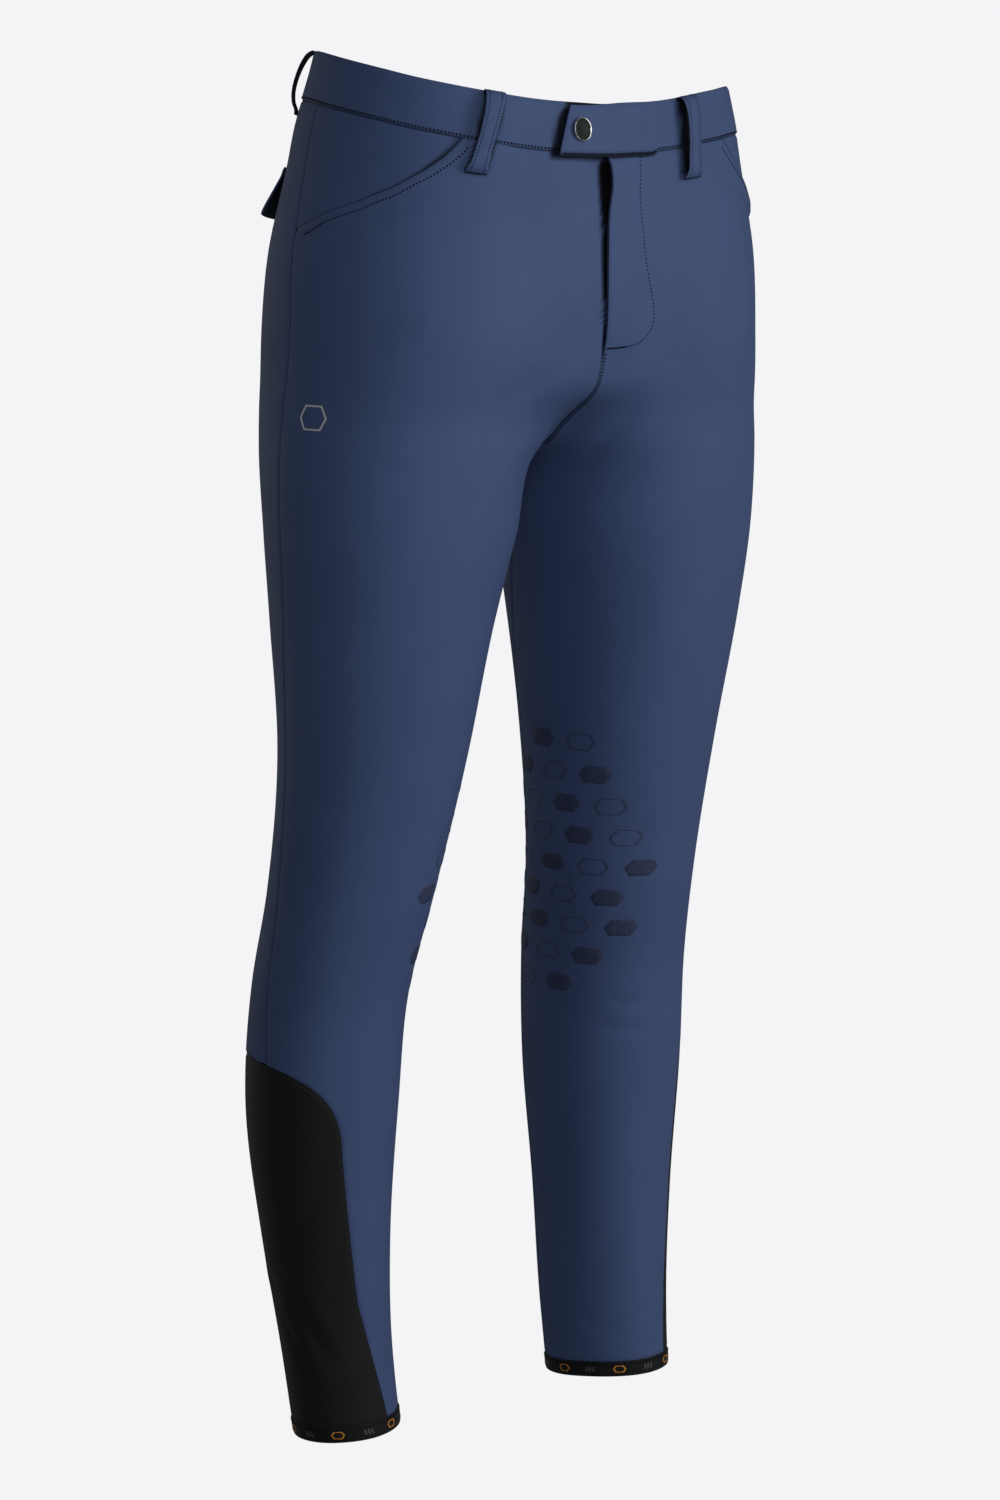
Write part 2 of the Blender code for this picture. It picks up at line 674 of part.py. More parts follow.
def new_finish(name, colour, roughness, metallic):
    material = bpy.data.materials.new(name)
    material.use_nodes = True
    shader = material.node_tree.nodes["Principled BSDF"]
    shader.inputs["Base Color"].default_value = (*colour, 1)
    shader.inputs["Roughness"].default_value = roughness
    shader.inputs["Metallic"].default_value = metallic
    return material


for old in list(bpy.data.objects):
    bpy.data.objects.remove(old, do_unlink=True)
garment = bpy.data.collections.new("riding_breeches")
bpy.context.scene.collection.children.link(garment)
waist = bpy.data.objects.new("waist", None)
garment.objects.link(waist)
finishes = {name: new_finish(name, *values) for name, values in FINISHES.items()}

for leg_side, side_name in SIDES:
    front_leg(leg_side, side_name)
    back_leg(leg_side, side_name)
    calf_panel(leg_side, side_name)
    pocket_facing(leg_side, side_name)
    waistband(leg_side, side_name)
    hem_band(leg_side, side_name)
    back_flap(leg_side, side_name)
for loop in BELT_LOOPS:
    belt_loop(*loop)
snap()
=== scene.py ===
"""Riding breeches, finished: every cut piece of cloth, its sewing, grips and snap, in the order of making.

A place on the cloth is given by the leg, by the level below the waist edge in millimetres, and by
the angle round that leg's own axis: 0 points outward, -90 to the front, 90 to the back and 180 to
the other leg. The wearer faces -Y, and the wearer's left is +X.
"""

import bmesh
import bpy
import numpy as np
from mathutils import Matrix, Vector
from mathutils.kdtree import KDTree


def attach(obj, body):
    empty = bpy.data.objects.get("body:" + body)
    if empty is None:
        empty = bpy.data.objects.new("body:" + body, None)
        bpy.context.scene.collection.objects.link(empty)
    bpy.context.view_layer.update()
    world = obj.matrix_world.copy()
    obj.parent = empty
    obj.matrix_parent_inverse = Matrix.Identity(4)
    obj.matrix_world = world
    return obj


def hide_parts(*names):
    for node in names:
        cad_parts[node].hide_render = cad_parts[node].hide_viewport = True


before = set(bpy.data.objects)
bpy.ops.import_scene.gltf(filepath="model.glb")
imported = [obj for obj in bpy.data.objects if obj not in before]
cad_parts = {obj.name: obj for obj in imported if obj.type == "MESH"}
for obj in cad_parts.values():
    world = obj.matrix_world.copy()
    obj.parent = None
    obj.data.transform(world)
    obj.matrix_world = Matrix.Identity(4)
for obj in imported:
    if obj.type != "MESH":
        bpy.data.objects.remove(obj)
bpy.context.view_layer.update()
bpy.ops.object.select_all(action="DESELECT")


# ---------------------------------------------------------------- the fronts of the legs
# Each front is one piece of smooth two-way stretch cloth, cut from the waistband to the hem and
# from the fly and the inner seam round to the outseam. Sewn edges roll in a little at the seam,
# the pocket mouth is turned under, and the left front is folded double along the fly.

MM = 0.001
RIGHT, LEFT = -1, 1
SIDES = ((RIGHT, "right"), (LEFT, "left"))

SECTION_COLUMNS = ("height", "axis_out", "axis_back", "outer", "inner", "front", "back", "turn", "web")
SECTIONS = (
    (30, 55, 0, 78, 140, 93, 84, 0, 40),
    (0, 55, 0, 84.5, 140, 93, 94, 0, 40),
    (-40, 58, 1, 91.5, 143, 98, 107.5, 0, 40),
    (-60, 60, 2, 93, 145, 101, 110, 0, 40),
    (-120, 68, 6, 98, 160, 107, 114, 0, 40),
    (-175, 76, 10, 93, 178, 110, 114, 0, 40),
    (-200, 79, 11, 92, 160, 106, 111, 2, 38),
    (-220, 81, 12, 92, 106, 102, 107, 3, 32),
    (-245, 84, 12, 91, 84, 99, 103, 5, 28),
    (-300, 90, 14, 84, 78, 94, 94, 10, 24),
    (-360, 94, 18, 76, 70, 85, 85, 14, 20),
    (-450, 98, 26, 65, 61, 70, 72, 16, 16),
    (-550, 106, 46, 57, 55, 61, 62, 14, 12),
    (-620, 113, 64, 54, 53, 60, 62, 16, 10),
    (-700, 117, 70, 53, 52, 57, 62, 16, 10),
    (-800, 116, 68, 45, 44, 51, 54, 20, 10),
    (-880, 113, 60, 39, 39, 47, 50, 28, 10),
    (-940, 110, 50, 38, 38, 46, 47, 28, 10),
    (-990, 106, 38, 39, 39, 48, 47, 28, 10),
)
SQUARENESS = 2.15  # the exponent of a section, where 2 is an ellipse
WAIST_EDGE_COLUMNS = {RIGHT: 1, LEFT: 2}  # heights of the waist edge: the right hip stands higher
WAIST_EDGE = (
    (-118, -24.9, -24.9),
    (-96, -22.7, -22),
    (-75, -18.2, -16.5),
    (-50, -10.6, -11.2),
    (-30, -3.4, -10.8),
    (-5, 3.8, -12.5),
    (24, 9.6, -17.6),
    (45, 10.2, -20.6),
    (65, 7.4, -19.5),
    (90, 1.8, -14),
    (117, -7.4, -7.4),
)
LEVELLING = (31, 130)  # levels between which the askew waist edge evens out
HEM_TILT, HEM_TILT_FROM = 6, 700
BAND_DEPTH, FLY_END, POCKET_END, CALF_TOP, HEM_BAND_TOP, HEM = 31, 178, 104, 664, 923.5, 934
CLOTH, SEAM, LAY = 1.5, 0.3, 0.6  # a wall's thickness, and the gaps at seams and between layers
SEWN = 0.03  # what is left open at a seam down a leg
OUTSEAM = ((0, 4), (60, 8), (110, 3), (170, 0), (280, 1), (350, 0), (420, 5), (500, 8), (584, 6), (664, 1))
LEG_TURN = ((0, 0), (430, 0), (520, 5), (600, 12), (664, 16), (758, 18), (837, 21), (872, 25), (934, 34))
LEFT_TURN_SHARE = 0.6  # the left leg turns less than the right
POCKET_MOUTH = (
    *((31, -66.2), (38, -63.5), (45, -60.4), (56, -54.4), (72, -43.4)),
    *((84, -31), (93, -16), (99, -6.9), (104, 2.6)),
)
CALF_FRONT = ((664, -57), (726, -58), (758, -60), (837, -63), (872, -68), (934, -77))
CALF_BACK = ((664, 92), (934, 92))
CALF_ARCH_HEIGHT, CALF_ARCH_POWER = 62, 2.5
INSEAM_BACK, INSEAM_SWEEP = 150, 160
UNDERLAP, UNDERLAP_END = 14, (146, 168)
MOUTH_RISE = (13, 21)
FLY_EDGE, FLY_RISE = 2.4, (18, 36)
FLY_RISE_END = (170, 190)
FLY_BOW, FLY_BOW_AT, FLY_BOW_SPAN = 2.2, 52, 18  # the edge bows away below the tab
FLY_GAPE, FLY_GAPE_WIDTH = 3.2, 16.25  # the gap that opens between the fly's edge and what is below it
FLY_GAPE_LEVELS = (30, 42, 105, 172)  # where the gap begins, is full, is less and ends
FLY_GAPE_LESS = (0.62, 0.38)  # how much of it goes between those levels
FLY_SHADE, FLY_BOW_OUT = 5.4, 0.5  # how wide the painted shade is beside the fly's edge
FLY_SHADE_LESS = (0.55, 0.3)
TAB_REACH, TAB_SLANT, TAB_DROP, TAB_STEP = 37, 10, 2.2, (38, 42)
# Rows of a loop: the level, how far it stands off the band, and the strap's width.
FRONT_LOOP_ROWS = (
    *((3, -0.4, 12.6), (1.5, 0.3, 12.8), (1, 1.8, 13), (1.8, 4, 12.8), (4.2, 5.9, 12.2)),
    *((9, 7.1, 11.2), (16, 7.5, 10.2), (26, 7, 9.8), (36, 5.8, 9.9), (43, 4.8, 10.4)),
    *((47, 4.1, 11), (49.4, 3.4, 12.6), (51, 2.4, 13.4), (52.4, 1.1, 13.6), (53, 0.4, 13.6)),
)
REAR_LOOP_ROWS = (
    *((3, -0.4, 12.6), (1.5, 0.3, 12.8), (1, 1.4, 13), (1.8, 2.9, 12.8), (4.2, 4.8, 12.2)),
    *((9, 6.4, 11.2), (15, 7.3, 10.2), (22, 7.4, 9.8), (28, 6.5, 10), (33, 4.6, 11)),
    *((36, 2.2, 12.6), (38, 1, 13.4), (40, 0.5, 13.6)),
)
# Each loop's name, rows, leg, angles at the top and the foot, and how much farther off its foot is.
BELT_LOOPS = (
    ("front_right", FRONT_LOOP_ROWS, RIGHT, -77, -71.6, 1.9),
    ("front_left", FRONT_LOOP_ROWS, LEFT, -84.5, -86.8, 0.9),
    ("rear_right", REAR_LOOP_ROWS, RIGHT, 46, 45, 0),
    ("rear_left", REAR_LOOP_ROWS, LEFT, 46, 45, 0),
)
# How wide the painted shade beside a loop is on each side, and how long a degree is.
LOOP_SHADE, DEGREE = {RIGHT: 4.6, LEFT: 2.4}, 1.66
TAB_SHADE, TAB_SHADE_END, TAB_SHADE_FOOT = 6.5, (34, 40), (33.5, 36.5)
# How dark the painted shade is at each kind of gap, where 1 paints it fully dark.
PAINTED_SHADE_DEPTHS = {"loop": 0.95, "loop_edge": 0.75, "loop_foot": 0.9, "tab": 0.93, "tab_seam": 0.8, "seam": 0.9}
PAINTED_SHADE_DEPTHS.update({"mouth": 0.92, "band": 0.85, "flap": 0.8})
ROW_STEP = 3.6
EDGE_STEPS = (0, 0.5, 1.1, 2.0, 3.2)
MEASURED_COLUMNS = 80
SEAM_ROLL, SEAM_ROLL_WIDTH = 0.65, 2.4


def smooth(value, start, end):
    """0 at the start, 1 at the end, and level at both."""
    part = np.clip((np.asarray(value, float) - start) / (end - start), 0, 1)
    return part * part * (3 - 2 * part)


def smooth_table(table, at):
    """The columns of a table at the given places, on a smooth curve through its rows."""
    rows = np.array(table, float)
    rows = rows[rows[:, 0].argsort()]
    places = rows[:, 0]
    at = np.clip(np.asarray(at, float), places[0], places[-1])
    index = np.clip(np.searchsorted(places, at, side="right") - 1, 0, len(places) - 2)
    steps = np.diff(places)[:, None]
    slopes = np.diff(rows, axis=0) / steps
    middle = (slopes[:-1] * steps[1:] + slopes[1:] * steps[:-1]) / (steps[1:] + steps[:-1])
    tangents = np.vstack([slopes[:1], middle, slopes[-1:]])
    step = (places[index + 1] - places[index])[..., None]
    part = (at - places[index])[..., None] / step
    start_weight = 2 * part**3 - 3 * part**2 + 1
    return (
        start_weight * rows[index]
        + (1 - start_weight) * rows[index + 1]
        + (part**3 - 2 * part**2 + part) * step * tangents[index]
        + (part**3 - part**2) * step * tangents[index + 1]
    )


def straight_table(table, at):
    places, values = zip(*table)
    return np.interp(at, places, values)


def section(height):
    values = smooth_table(SECTIONS, height)
    return {name: values[..., column] for column, name in enumerate(SECTION_COLUMNS)}


def outside_leg(leg, out, back):
    """How far a place lies outside one leg's section, along the ray from the leg's axis."""
    from_axis_out, from_axis_back = out - leg["axis_out"], back - leg["axis_back"]
    turn = np.radians(leg["turn"])
    across = from_axis_out * np.cos(turn) + from_axis_back * np.sin(turn)
    along = from_axis_back * np.cos(turn) - from_axis_out * np.sin(turn)
    across_reach = np.where(across > 0, leg["outer"], leg["inner"])
    along_reach = np.where(along > 0, leg["back"], leg["front"])
    ratio = np.abs(across / across_reach) ** SQUARENESS + np.abs(along / along_reach) ** SQUARENESS
    ratio = np.maximum(ratio ** (1 / SQUARENESS), 1e-6)
    return np.hypot(from_axis_out, from_axis_back) * (1 - 1 / ratio)


def outside(leg, out, back):
    """How far a place lies outside both legs together, which blend where they meet."""
    own, other = outside_leg(leg, out, back), outside_leg(leg, -out, back)
    blend = np.maximum(leg["web"] - np.abs(own - other), 0) / leg["web"]
    return np.minimum(own, other) - blend * blend * leg["web"] / 4


def first_crossing(measure, inner, outer):
    """The place between inner and outer where the measure turns from negative to positive."""
    inner, outer = np.array(inner, float), np.array(outer, float)
    for _ in range(26):
        middle = (inner + outer) / 2
        is_inside = measure(middle) < 0
        inner = np.where(is_inside, middle, inner)
        outer = np.where(is_inside, outer, middle)
    return (inner + outer) / 2


def height_of(side, level, angle):
    """The height of a level, which follows the waist edge above and the tilt of the hem below."""
    edge = smooth_table(WAIST_EDGE, angle)[..., WAIST_EDGE_COLUMNS[side]]
    hem = HEM_TILT * np.sin(np.radians(angle)) * smooth(level, HEM_TILT_FROM, HEM)
    return -level + edge * (1 - smooth(level, *LEVELLING)) - hem


def base(side, level, angle, past_middle=False):
    """Points of the surface that all the cloth lies on, and its normals: out, back and height."""
    given = (np.asarray(value, float) for value in (level, angle, past_middle))
    level, angle, past_middle = np.broadcast_arrays(*given)
    height = height_of(side, level, angle)
    leg = section(height)
    out_part, back_part = np.cos(np.radians(angle)), np.sin(np.radians(angle))
    to_middle = leg["axis_out"] / np.maximum(-out_part, 1e-6)
    farthest = np.where((out_part < 0) & (past_middle < 0.5), np.minimum(to_middle, 320), 320)

    def measure(reach):
        return outside(leg, leg["axis_out"] + reach * out_part, leg["axis_back"] + reach * back_part)

    reach = first_crossing(measure, np.full_like(out_part, 5), farthest)
    out, back = leg["axis_out"] + reach * out_part, leg["axis_back"] + reach * back_part
    step = 0.5
    slope = [
        outside(leg, out + step, back) - outside(leg, out - step, back),
        outside(leg, out, back + step) - outside(leg, out, back - step),
        outside(section(height + step), out, back) - outside(section(height - step), out, back),
    ]
    slope = np.stack(slope, axis=-1)
    normal = slope / np.linalg.norm(slope, axis=-1, keepdims=True)
    return np.stack([out, back, height], axis=-1), normal


def middle_angle(level, out, ahead):
    """The angle of the place at that distance from the middle, on the front if ahead, or on the back."""
    height = height_of(RIGHT, float(level), -180 if ahead else 180)
    leg = section(height)
    across = np.linspace(-160, 160, 641)
    deepest = across[outside(leg, np.full_like(across, out), across).argmin()]
    turn = -1 if ahead else 1
    reach = first_crossing(lambda reach: outside(leg, out, deepest + turn * reach), 0.0, 300.0)
    return float(np.degrees(np.arctan2(deepest + turn * reach - leg["axis_back"], out - leg["axis_out"])))


def find_fork():
    """The level of the crotch, where the middle is last inside the cloth, and its angle."""
    across = np.linspace(-320, 320, 641)

    def middle(level):
        return outside(section(np.full_like(across, -level)), np.zeros_like(across), across)

    level = first_crossing(lambda at: middle(at).min(), 200.0, 330.0)
    leg = section(-level)
    back = across[middle(level).argmin()]
    return float(level), float(np.degrees(np.arctan2(back - leg["axis_back"], -leg["axis_out"])))


FORK, FORK_ANGLE = find_fork()


def leg_turn(level, side):
    share = LEFT_TURN_SHARE if side == LEFT else 1
    return side * share * straight_table(LEG_TURN, level)


def outseam(level, side):
    return smooth_table(OUTSEAM, level)[..., 1] + leg_turn(level, side)


def inseam(level):
    return FORK_ANGLE + (INSEAM_BACK - FORK_ANGLE) * smooth(level, FORK, FORK + INSEAM_SWEEP)


def calf_sides(level, side):
    """The front and back edges of the calf panel, whose upper end is an arch."""
    front, back = straight_table(CALF_FRONT, level), straight_table(CALF_BACK, level)
    middle, half = (front + back) / 2, (back - front) / 2
    up = 1 - np.clip((level - CALF_TOP) / CALF_ARCH_HEIGHT, 0, 1)
    half = half * (1 - up**CALF_ARCH_POWER) ** (1 / CALF_ARCH_POWER)
    turn = leg_turn(level, side)
    return middle - half + turn, middle + half + turn


# Soft folds, by leg: half width, depth, and the places that each runs through, as level and angle.
FOLDS = {
    RIGHT: (
        (9, 1.6, ((196, -122), (222, -136), (244, -158), (262, -176))),
        (7, 1.0, ((204, -106), (236, -120), (262, -140))),
        (6, 0.9, ((186, -116), (200, -104), (220, -92))),
        (10, 1.2, ((268, 168), (282, 138), (290, 104), (286, 70))),
        (8, 0.9, ((300, 160), (318, 132), (330, 98))),
        (6, 1.5, ((532, 128), (540, 104), (541, 74), (534, 48))),
        (5, 1.2, ((548, 140), (559, 112), (561, 80))),
        (6, 1.3, ((574, 126), (583, 100), (582, 66), (574, 40))),
        (5, 0.9, ((598, 116), (606, 90), (604, 62))),
        (4, 0.8, ((540, 176), (549, 158), (552, 136))),
        (4, 0.7, ((600, 178), (606, 158), (604, 136))),
        (6, 1.5, ((826, -22), (845, -36), (866, -50), (886, -60))),
        (5, 1.1, ((846, -8), (866, -26), (890, -44))),
        (5, 0.9, ((806, 20), (822, 4), (836, -12))),
        (6, 0.9, ((868, 96), (878, 70), (880, 40))),
        (5, 0.7, ((896, 130), (901, 104), (899, 78))),
        (5, 0.5, ((884, -150), (888, -124), (886, -98))),
    ),
    LEFT: (
        (9, 1.4, ((194, -124), (220, -138), (242, -158), (262, -176))),
        (7, 0.9, ((206, -108), (232, -122), (258, -142))),
        (10, 1.3, ((266, 168), (280, 140), (288, 106), (282, 72))),
        (8, 0.8, ((302, 156), (316, 130), (326, 100))),
        (4.5, 1.1, ((556, 168), (548, 186), (552, 200), (562, 208))),
        (4, 0.9, ((574, 164), (580, 184), (594, 200))),
        (6, 1.5, ((530, 132), (539, 106), (541, 78), (536, 50))),
        (5, 1.1, ((552, 142), (562, 116), (563, 86))),
        (6, 1.3, ((578, 130), (586, 104), (584, 70), (577, 44))),
        (5, 0.9, ((602, 120), (609, 94), (607, 64))),
        (4, 0.5, ((642, -130), (648, -106), (646, -82))),
        (5, 0.5, ((662, -136), (669, -108), (666, -80))),
        (6, 1.2, ((830, -4), (850, 12), (872, 28), (890, 36))),
        (5, 0.9, ((852, 0), (872, 18), (894, 36))),
        (6, 0.8, ((862, 112), (873, 86), (876, 58))),
        (5, 0.6, ((892, -160), (897, -130), (895, -104))),
        (5, 0.5, ((866, -92), (872, -70), (870, -48))),
    ),
}
FOLD_BANK, FOLD_BANK_AT, FOLD_BANK_WIDTH = 0.45, 1.9, 1.1  # cloth pushed up beside a fold


def fold_line(side, route):
    """Points along a fold, on a smooth curve through the places of its route."""
    route = np.array(route, float)
    numbered = np.column_stack([np.arange(len(route)), route])
    smooth_route = smooth_table(numbered, np.linspace(0, len(route) - 1, 6 * len(route)))
    return base(side, smooth_route[:, 1], smooth_route[:, 2])[0]


FOLD_LINES = {
    side: [(half_width, deep, fold_line(side, route)) for half_width, deep, route in folds]
    for side, folds in FOLDS.items()
}


def folded(side, points):
    """How far the folds move points of the surface out, in millimetres."""
    moved = np.zeros(points.shape[:-1])
    for half_width, deep, line in FOLD_LINES[side]:
        reach = 4 * half_width
        near = ((points > line.min(axis=0) - reach) & (points < line.max(axis=0) + reach)).all(axis=-1)
        if not near.any():
            continue
        close = points[near]
        nearest = np.full(len(close), np.inf)
        share = np.zeros(len(close))
        for index in range(len(line) - 1):
            start, run = line[index], line[index + 1] - line[index]
            part = np.clip((close - start) @ run / (run @ run), 0, 1)
            away = np.linalg.norm(close - start - part[:, None] * run, axis=1)
            closer = away < nearest
            nearest = np.where(closer, away, nearest)
            share = np.where(closer, (index + part) / (len(line) - 1), share)
        ends = smooth(share, 0, 0.35) * (1 - smooth(share, 0.6, 1))
        trough = np.exp(-((nearest / half_width) ** 2))
        bank = np.exp(-(((nearest / half_width - FOLD_BANK_AT) / FOLD_BANK_WIDTH) ** 2))
        moved[near] += deep * ends * (FOLD_BANK * bank - trough)
    return moved


def crowded(start, end, at=()):
    """Levels from start to end, a row step apart, closer beside both ends and beside the given levels."""
    steps = np.array(EDGE_STEPS, float)
    rows = [start + steps, end - steps]
    middle = np.arange(start + steps[-1], end - steps[-1], ROW_STEP)
    for level, before, after in at:
        middle = middle[(middle < level + before[0] - 1) | (middle > level + after[-1] + 1)]
        rows.append(level + np.array(before + after, float))
    return np.unique(np.round(np.concatenate([*rows, middle]), 3))


def laid_out(side, levels, starts, ends, columns, past_middle=False):
    """A panel's grid between two edges: levels, angles, places along the rows, points and normals.

    Its points are evenly spaced along each row, in millimetres, and closer beside its edges.
    """
    share = np.linspace(0, 1, MEASURED_COLUMNS)
    row_angles = starts[:, None] + (ends - starts)[:, None] * share
    points, _ = base(side, levels[:, None], row_angles, past_middle)
    steps = np.linalg.norm(np.diff(points, axis=1), axis=2)
    lengths = np.concatenate([np.zeros((len(levels), 1)), np.cumsum(steps, axis=1)], axis=1)
    angles, along = [], []
    for row, row_at in zip(lengths, row_angles):
        edge = np.array(EDGE_STEPS) * min(1, row[-1] / (3 * EDGE_STEPS[-1]))
        middle = np.linspace(edge[-1], row[-1] - edge[-1], columns)
        along.append(np.concatenate([edge[:-1], middle, (row[-1] - edge[:-1])[::-1]]))
        angles.append(np.interp(along[-1], row, row_at))
    angles = np.array(angles)
    level = np.broadcast_to(levels[:, None], angles.shape)
    return level, angles, np.array(along), *base(side, level, angles, past_middle)


def rim_of(grid):
    """The places round the rim of a grid, in order."""
    return np.concatenate([grid[0, :-1], grid[:-1, -1], grid[-1, :0:-1], grid[:0:-1, 0]])


def rolled(points, width=SEAM_ROLL_WIDTH, depth=SEAM_ROLL):
    """How far the points of a panel are rolled in beside its own edges."""
    border = rim_of(points)
    tree = KDTree(len(border))
    for index, point in enumerate(border):
        tree.insert(point, index)
    tree.balance()
    flat = points.reshape(-1, 3)
    nearest = np.array([tree.find(point)[1] for point in flat])
    distance = np.full(len(flat), np.inf)
    for shift in (-1, 0):
        start = border[(nearest + shift) % len(border)]
        run = border[(nearest + shift + 1) % len(border)] - start
        length = np.maximum((run * run).sum(axis=1), 1e-9)
        part = np.clip(((flat - start) * run).sum(axis=1) / length, 0, 1)
        distance = np.minimum(distance, np.linalg.norm(flat - start - part[:, None] * run, axis=1))
    return (depth * (1 - smooth(distance, 0, width))).reshape(points.shape[:2])


def new_object(name, points, faces, material, flat_map=None, sharp=50):
    """A mesh of points in millimetres. flat_map is each point's place in the flat cloth."""
    mesh = bpy.data.meshes.new(name)
    mesh.from_pydata((np.asarray(points) * MM).tolist(), [], faces)
    form = bmesh.new()
    form.from_mesh(mesh)
    bmesh.ops.recalc_face_normals(form, faces=form.faces)
    form.to_mesh(mesh)
    form.free()
    if flat_map is not None:
        corners = np.empty(len(mesh.loops), np.int32)
        mesh.loops.foreach_get("vertex_index", corners)
        layer = mesh.uv_layers.new(name="flat_cloth")
        layer.data.foreach_set("uv", (flat_map * MM)[corners].astype(np.float32).ravel())
    mesh.shade_smooth()
    mesh.set_sharp_from_angle(angle=np.radians(sharp))
    mesh.materials.append(material)
    piece = bpy.data.objects.new(name, mesh)
    bpy.context.scene.collection.objects.link(piece)
    return piece


def cloth_wall(name, outer, inner, flat_map, material, rim=0.08, shut_in=0.0, shut_inside=0.0):
    """A wall of cloth between two grids of points, whose rim is rounded by that much.

    The two shade arguments say how much painted shade, close to black, each outer point and each inner point
    gets where it lies in a tight gap or behind a part.
    """
    rows, columns = outer.shape[:2]
    below = rows * columns
    index = np.arange(below).reshape(rows, columns)
    border = rim_of(index)
    inward = np.concatenate([index[1, :-1], index[:-1, -2], index[-2, :0:-1], index[:0:-1, 1]])
    top, bottom, flat = outer.reshape(-1, 3), inner.reshape(-1, 3), flat_map.reshape(-1, 2)
    away = top[border] - top[inward]
    away = away / np.maximum(np.linalg.norm(away, axis=1, keepdims=True), 1e-9)
    crest = (top[border] + bottom[border]) / 2 + away * rim
    quads = [index[:-1, :-1], index[:-1, 1:], index[1:, 1:], index[1:, :-1]]
    quads = np.stack(quads, axis=-1).reshape(-1, 4)
    edge = 2 * below + np.arange(len(border))
    next_border, next_edge = np.roll(border, -1), np.roll(edge, -1)
    faces = [
        quads,
        quads[:, ::-1] + below,
        np.stack([next_border, border, edge, next_edge], axis=-1),
        np.stack([next_edge, edge, border + below, next_border + below], axis=-1),
    ]
    points, flat = np.concatenate([top, bottom, crest]), np.concatenate([flat, flat, flat[border]])
    piece = new_object(name, points, np.concatenate(faces).tolist(), material, flat)
    # Painted shade: each point's darkening, kept as an attribute that the cloth's material reads.
    shut = [np.broadcast_to(part, (rows, columns)).reshape(-1) for part in (shut_in, shut_inside)]
    shut.append((shut[0] + shut[1])[border] / 2)
    painted_shade = piece.data.attributes.new("painted_shade", "FLOAT", "POINT")
    painted_shade.data.foreach_set("value", np.concatenate(shut).astype(np.float32))
    return piece


def declare(piece, stands_for=None):
    """Hides the model's part that a piece stands for, and makes the piece ride on the breeches."""
    if stands_for:
        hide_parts(stands_for)
    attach(piece, "root")


def from_grain(along, angles, grain):
    """The places along each row, counted from the angle where the cloth's grain runs."""
    zero = [np.interp(grain, row_angles, row) for row, row_angles in zip(along, angles)]
    return along - np.array(zero)[:, None]


def sew_panel(name, side, material, grid, offs, least_out=SEWN / 2, **wall):
    """A panel of a leg or the band. offs says how far its outside and inside lie off the surface.

    grid holds its levels, the flat places along its rows, its points and its normals, and least_out
    says how near the middle it may come.
    """
    level, across, points, normal = grid
    faces = [points + normal * off[..., None] for off in offs]
    for face in faces:
        face[..., 0] = np.maximum(face[..., 0], least_out)
    flat_map = np.stack([across, -level], axis=-1)
    return cloth_wall(name, *(face * (side, 1, 1) for face in faces), flat_map, material, **wall)


def band_bottom(side, out):
    """The level of the waistband's lower edge, which steps down where the tab's layer covers it."""
    if side == RIGHT:
        return np.full_like(out, BAND_DEPTH)
    return BAND_DEPTH + TAB_DROP * (1 - smooth(out, *TAB_STEP))


def pocket_or_outseam(level, side):
    """The outer edge of a front: the pocket mouth, then the outseam, then the calf panel's edge."""
    seam = outseam(np.minimum(level, CALF_TOP), side)
    below = np.where(level > CALF_TOP, np.minimum(seam, calf_sides(level, side)[0]), seam)
    return np.where(level <= POCKET_END, straight_table(POCKET_MOUTH, level), below)


def fly_gape(level, out):
    """How much the layers at the fly stand apart at a place: most below the tab, and none at its end."""
    start, full, less, end = FLY_GAPE_LEVELS
    closing = FLY_GAPE_LESS[0] * smooth(level, full, less) + FLY_GAPE_LESS[1] * smooth(level, less, end)
    return smooth(level, start, full) * (1 - closing) * np.exp(-((out / FLY_GAPE_WIDTH) ** 2))


def front_rise(side, level, angle, out):
    """How far the outside and the inside of a front lie off the surface."""
    from_mouth = straight_table(POCKET_MOUTH, level) - angle
    at_mouth = np.where(level <= POCKET_END, 1 - smooth(from_mouth, *MOUTH_RISE), 0)
    at_mouth = at_mouth * (1 - smooth(level, POCKET_END - 4, POCKET_END + 2))
    if side == RIGHT:
        rise = at_mouth * (LAY + CLOTH) - FLY_GAPE * fly_gape(level, out)
        return rise, rise - CLOTH
    at_fly = (1 - smooth(out, *FLY_RISE)) * (1 - smooth(level, *FLY_RISE_END))
    gape = fly_gape(level, out) * FLY_GAPE * 0.8
    outer = np.maximum(at_mouth * (LAY + CLOTH), at_fly * (LAY + FLY_EDGE)) + gape
    return outer, np.maximum(at_mouth, at_fly) * (LAY + CLOTH) - CLOTH + gape


def loop_shade(side, level, angle):
    """How much painted shade places on the band and the fronts get in the gap behind a belt loop."""
    shade = np.zeros(np.broadcast(level, angle).shape)
    for _, rows, loop_side, top_angle, foot_angle, _ in BELT_LOOPS:
        if loop_side != side:
            continue
        levels, stands, widths = np.array(rows, float)[3:].T
        top, foot = levels[0], levels[-1]
        middle = top_angle + (foot_angle - top_angle) * np.clip(level / foot, 0, 1)
        away = (angle - middle) * DEGREE * -side
        half = np.interp(level, levels, widths) / 2
        beside = LOOP_SHADE[side] * np.interp(level, levels, stands) / stands.max()
        under = smooth(away, -half - beside, -half - 0.35 * beside)
        under = under * (1 - smooth(away, half - 0.6, half + 0.6))
        along = smooth(level, top - 1.5, top + 1) * (1 - smooth(level, foot - 3, foot - 0.5))
        shade = np.maximum(shade, under * along)
    return PAINTED_SHADE_DEPTHS["loop"] * shade


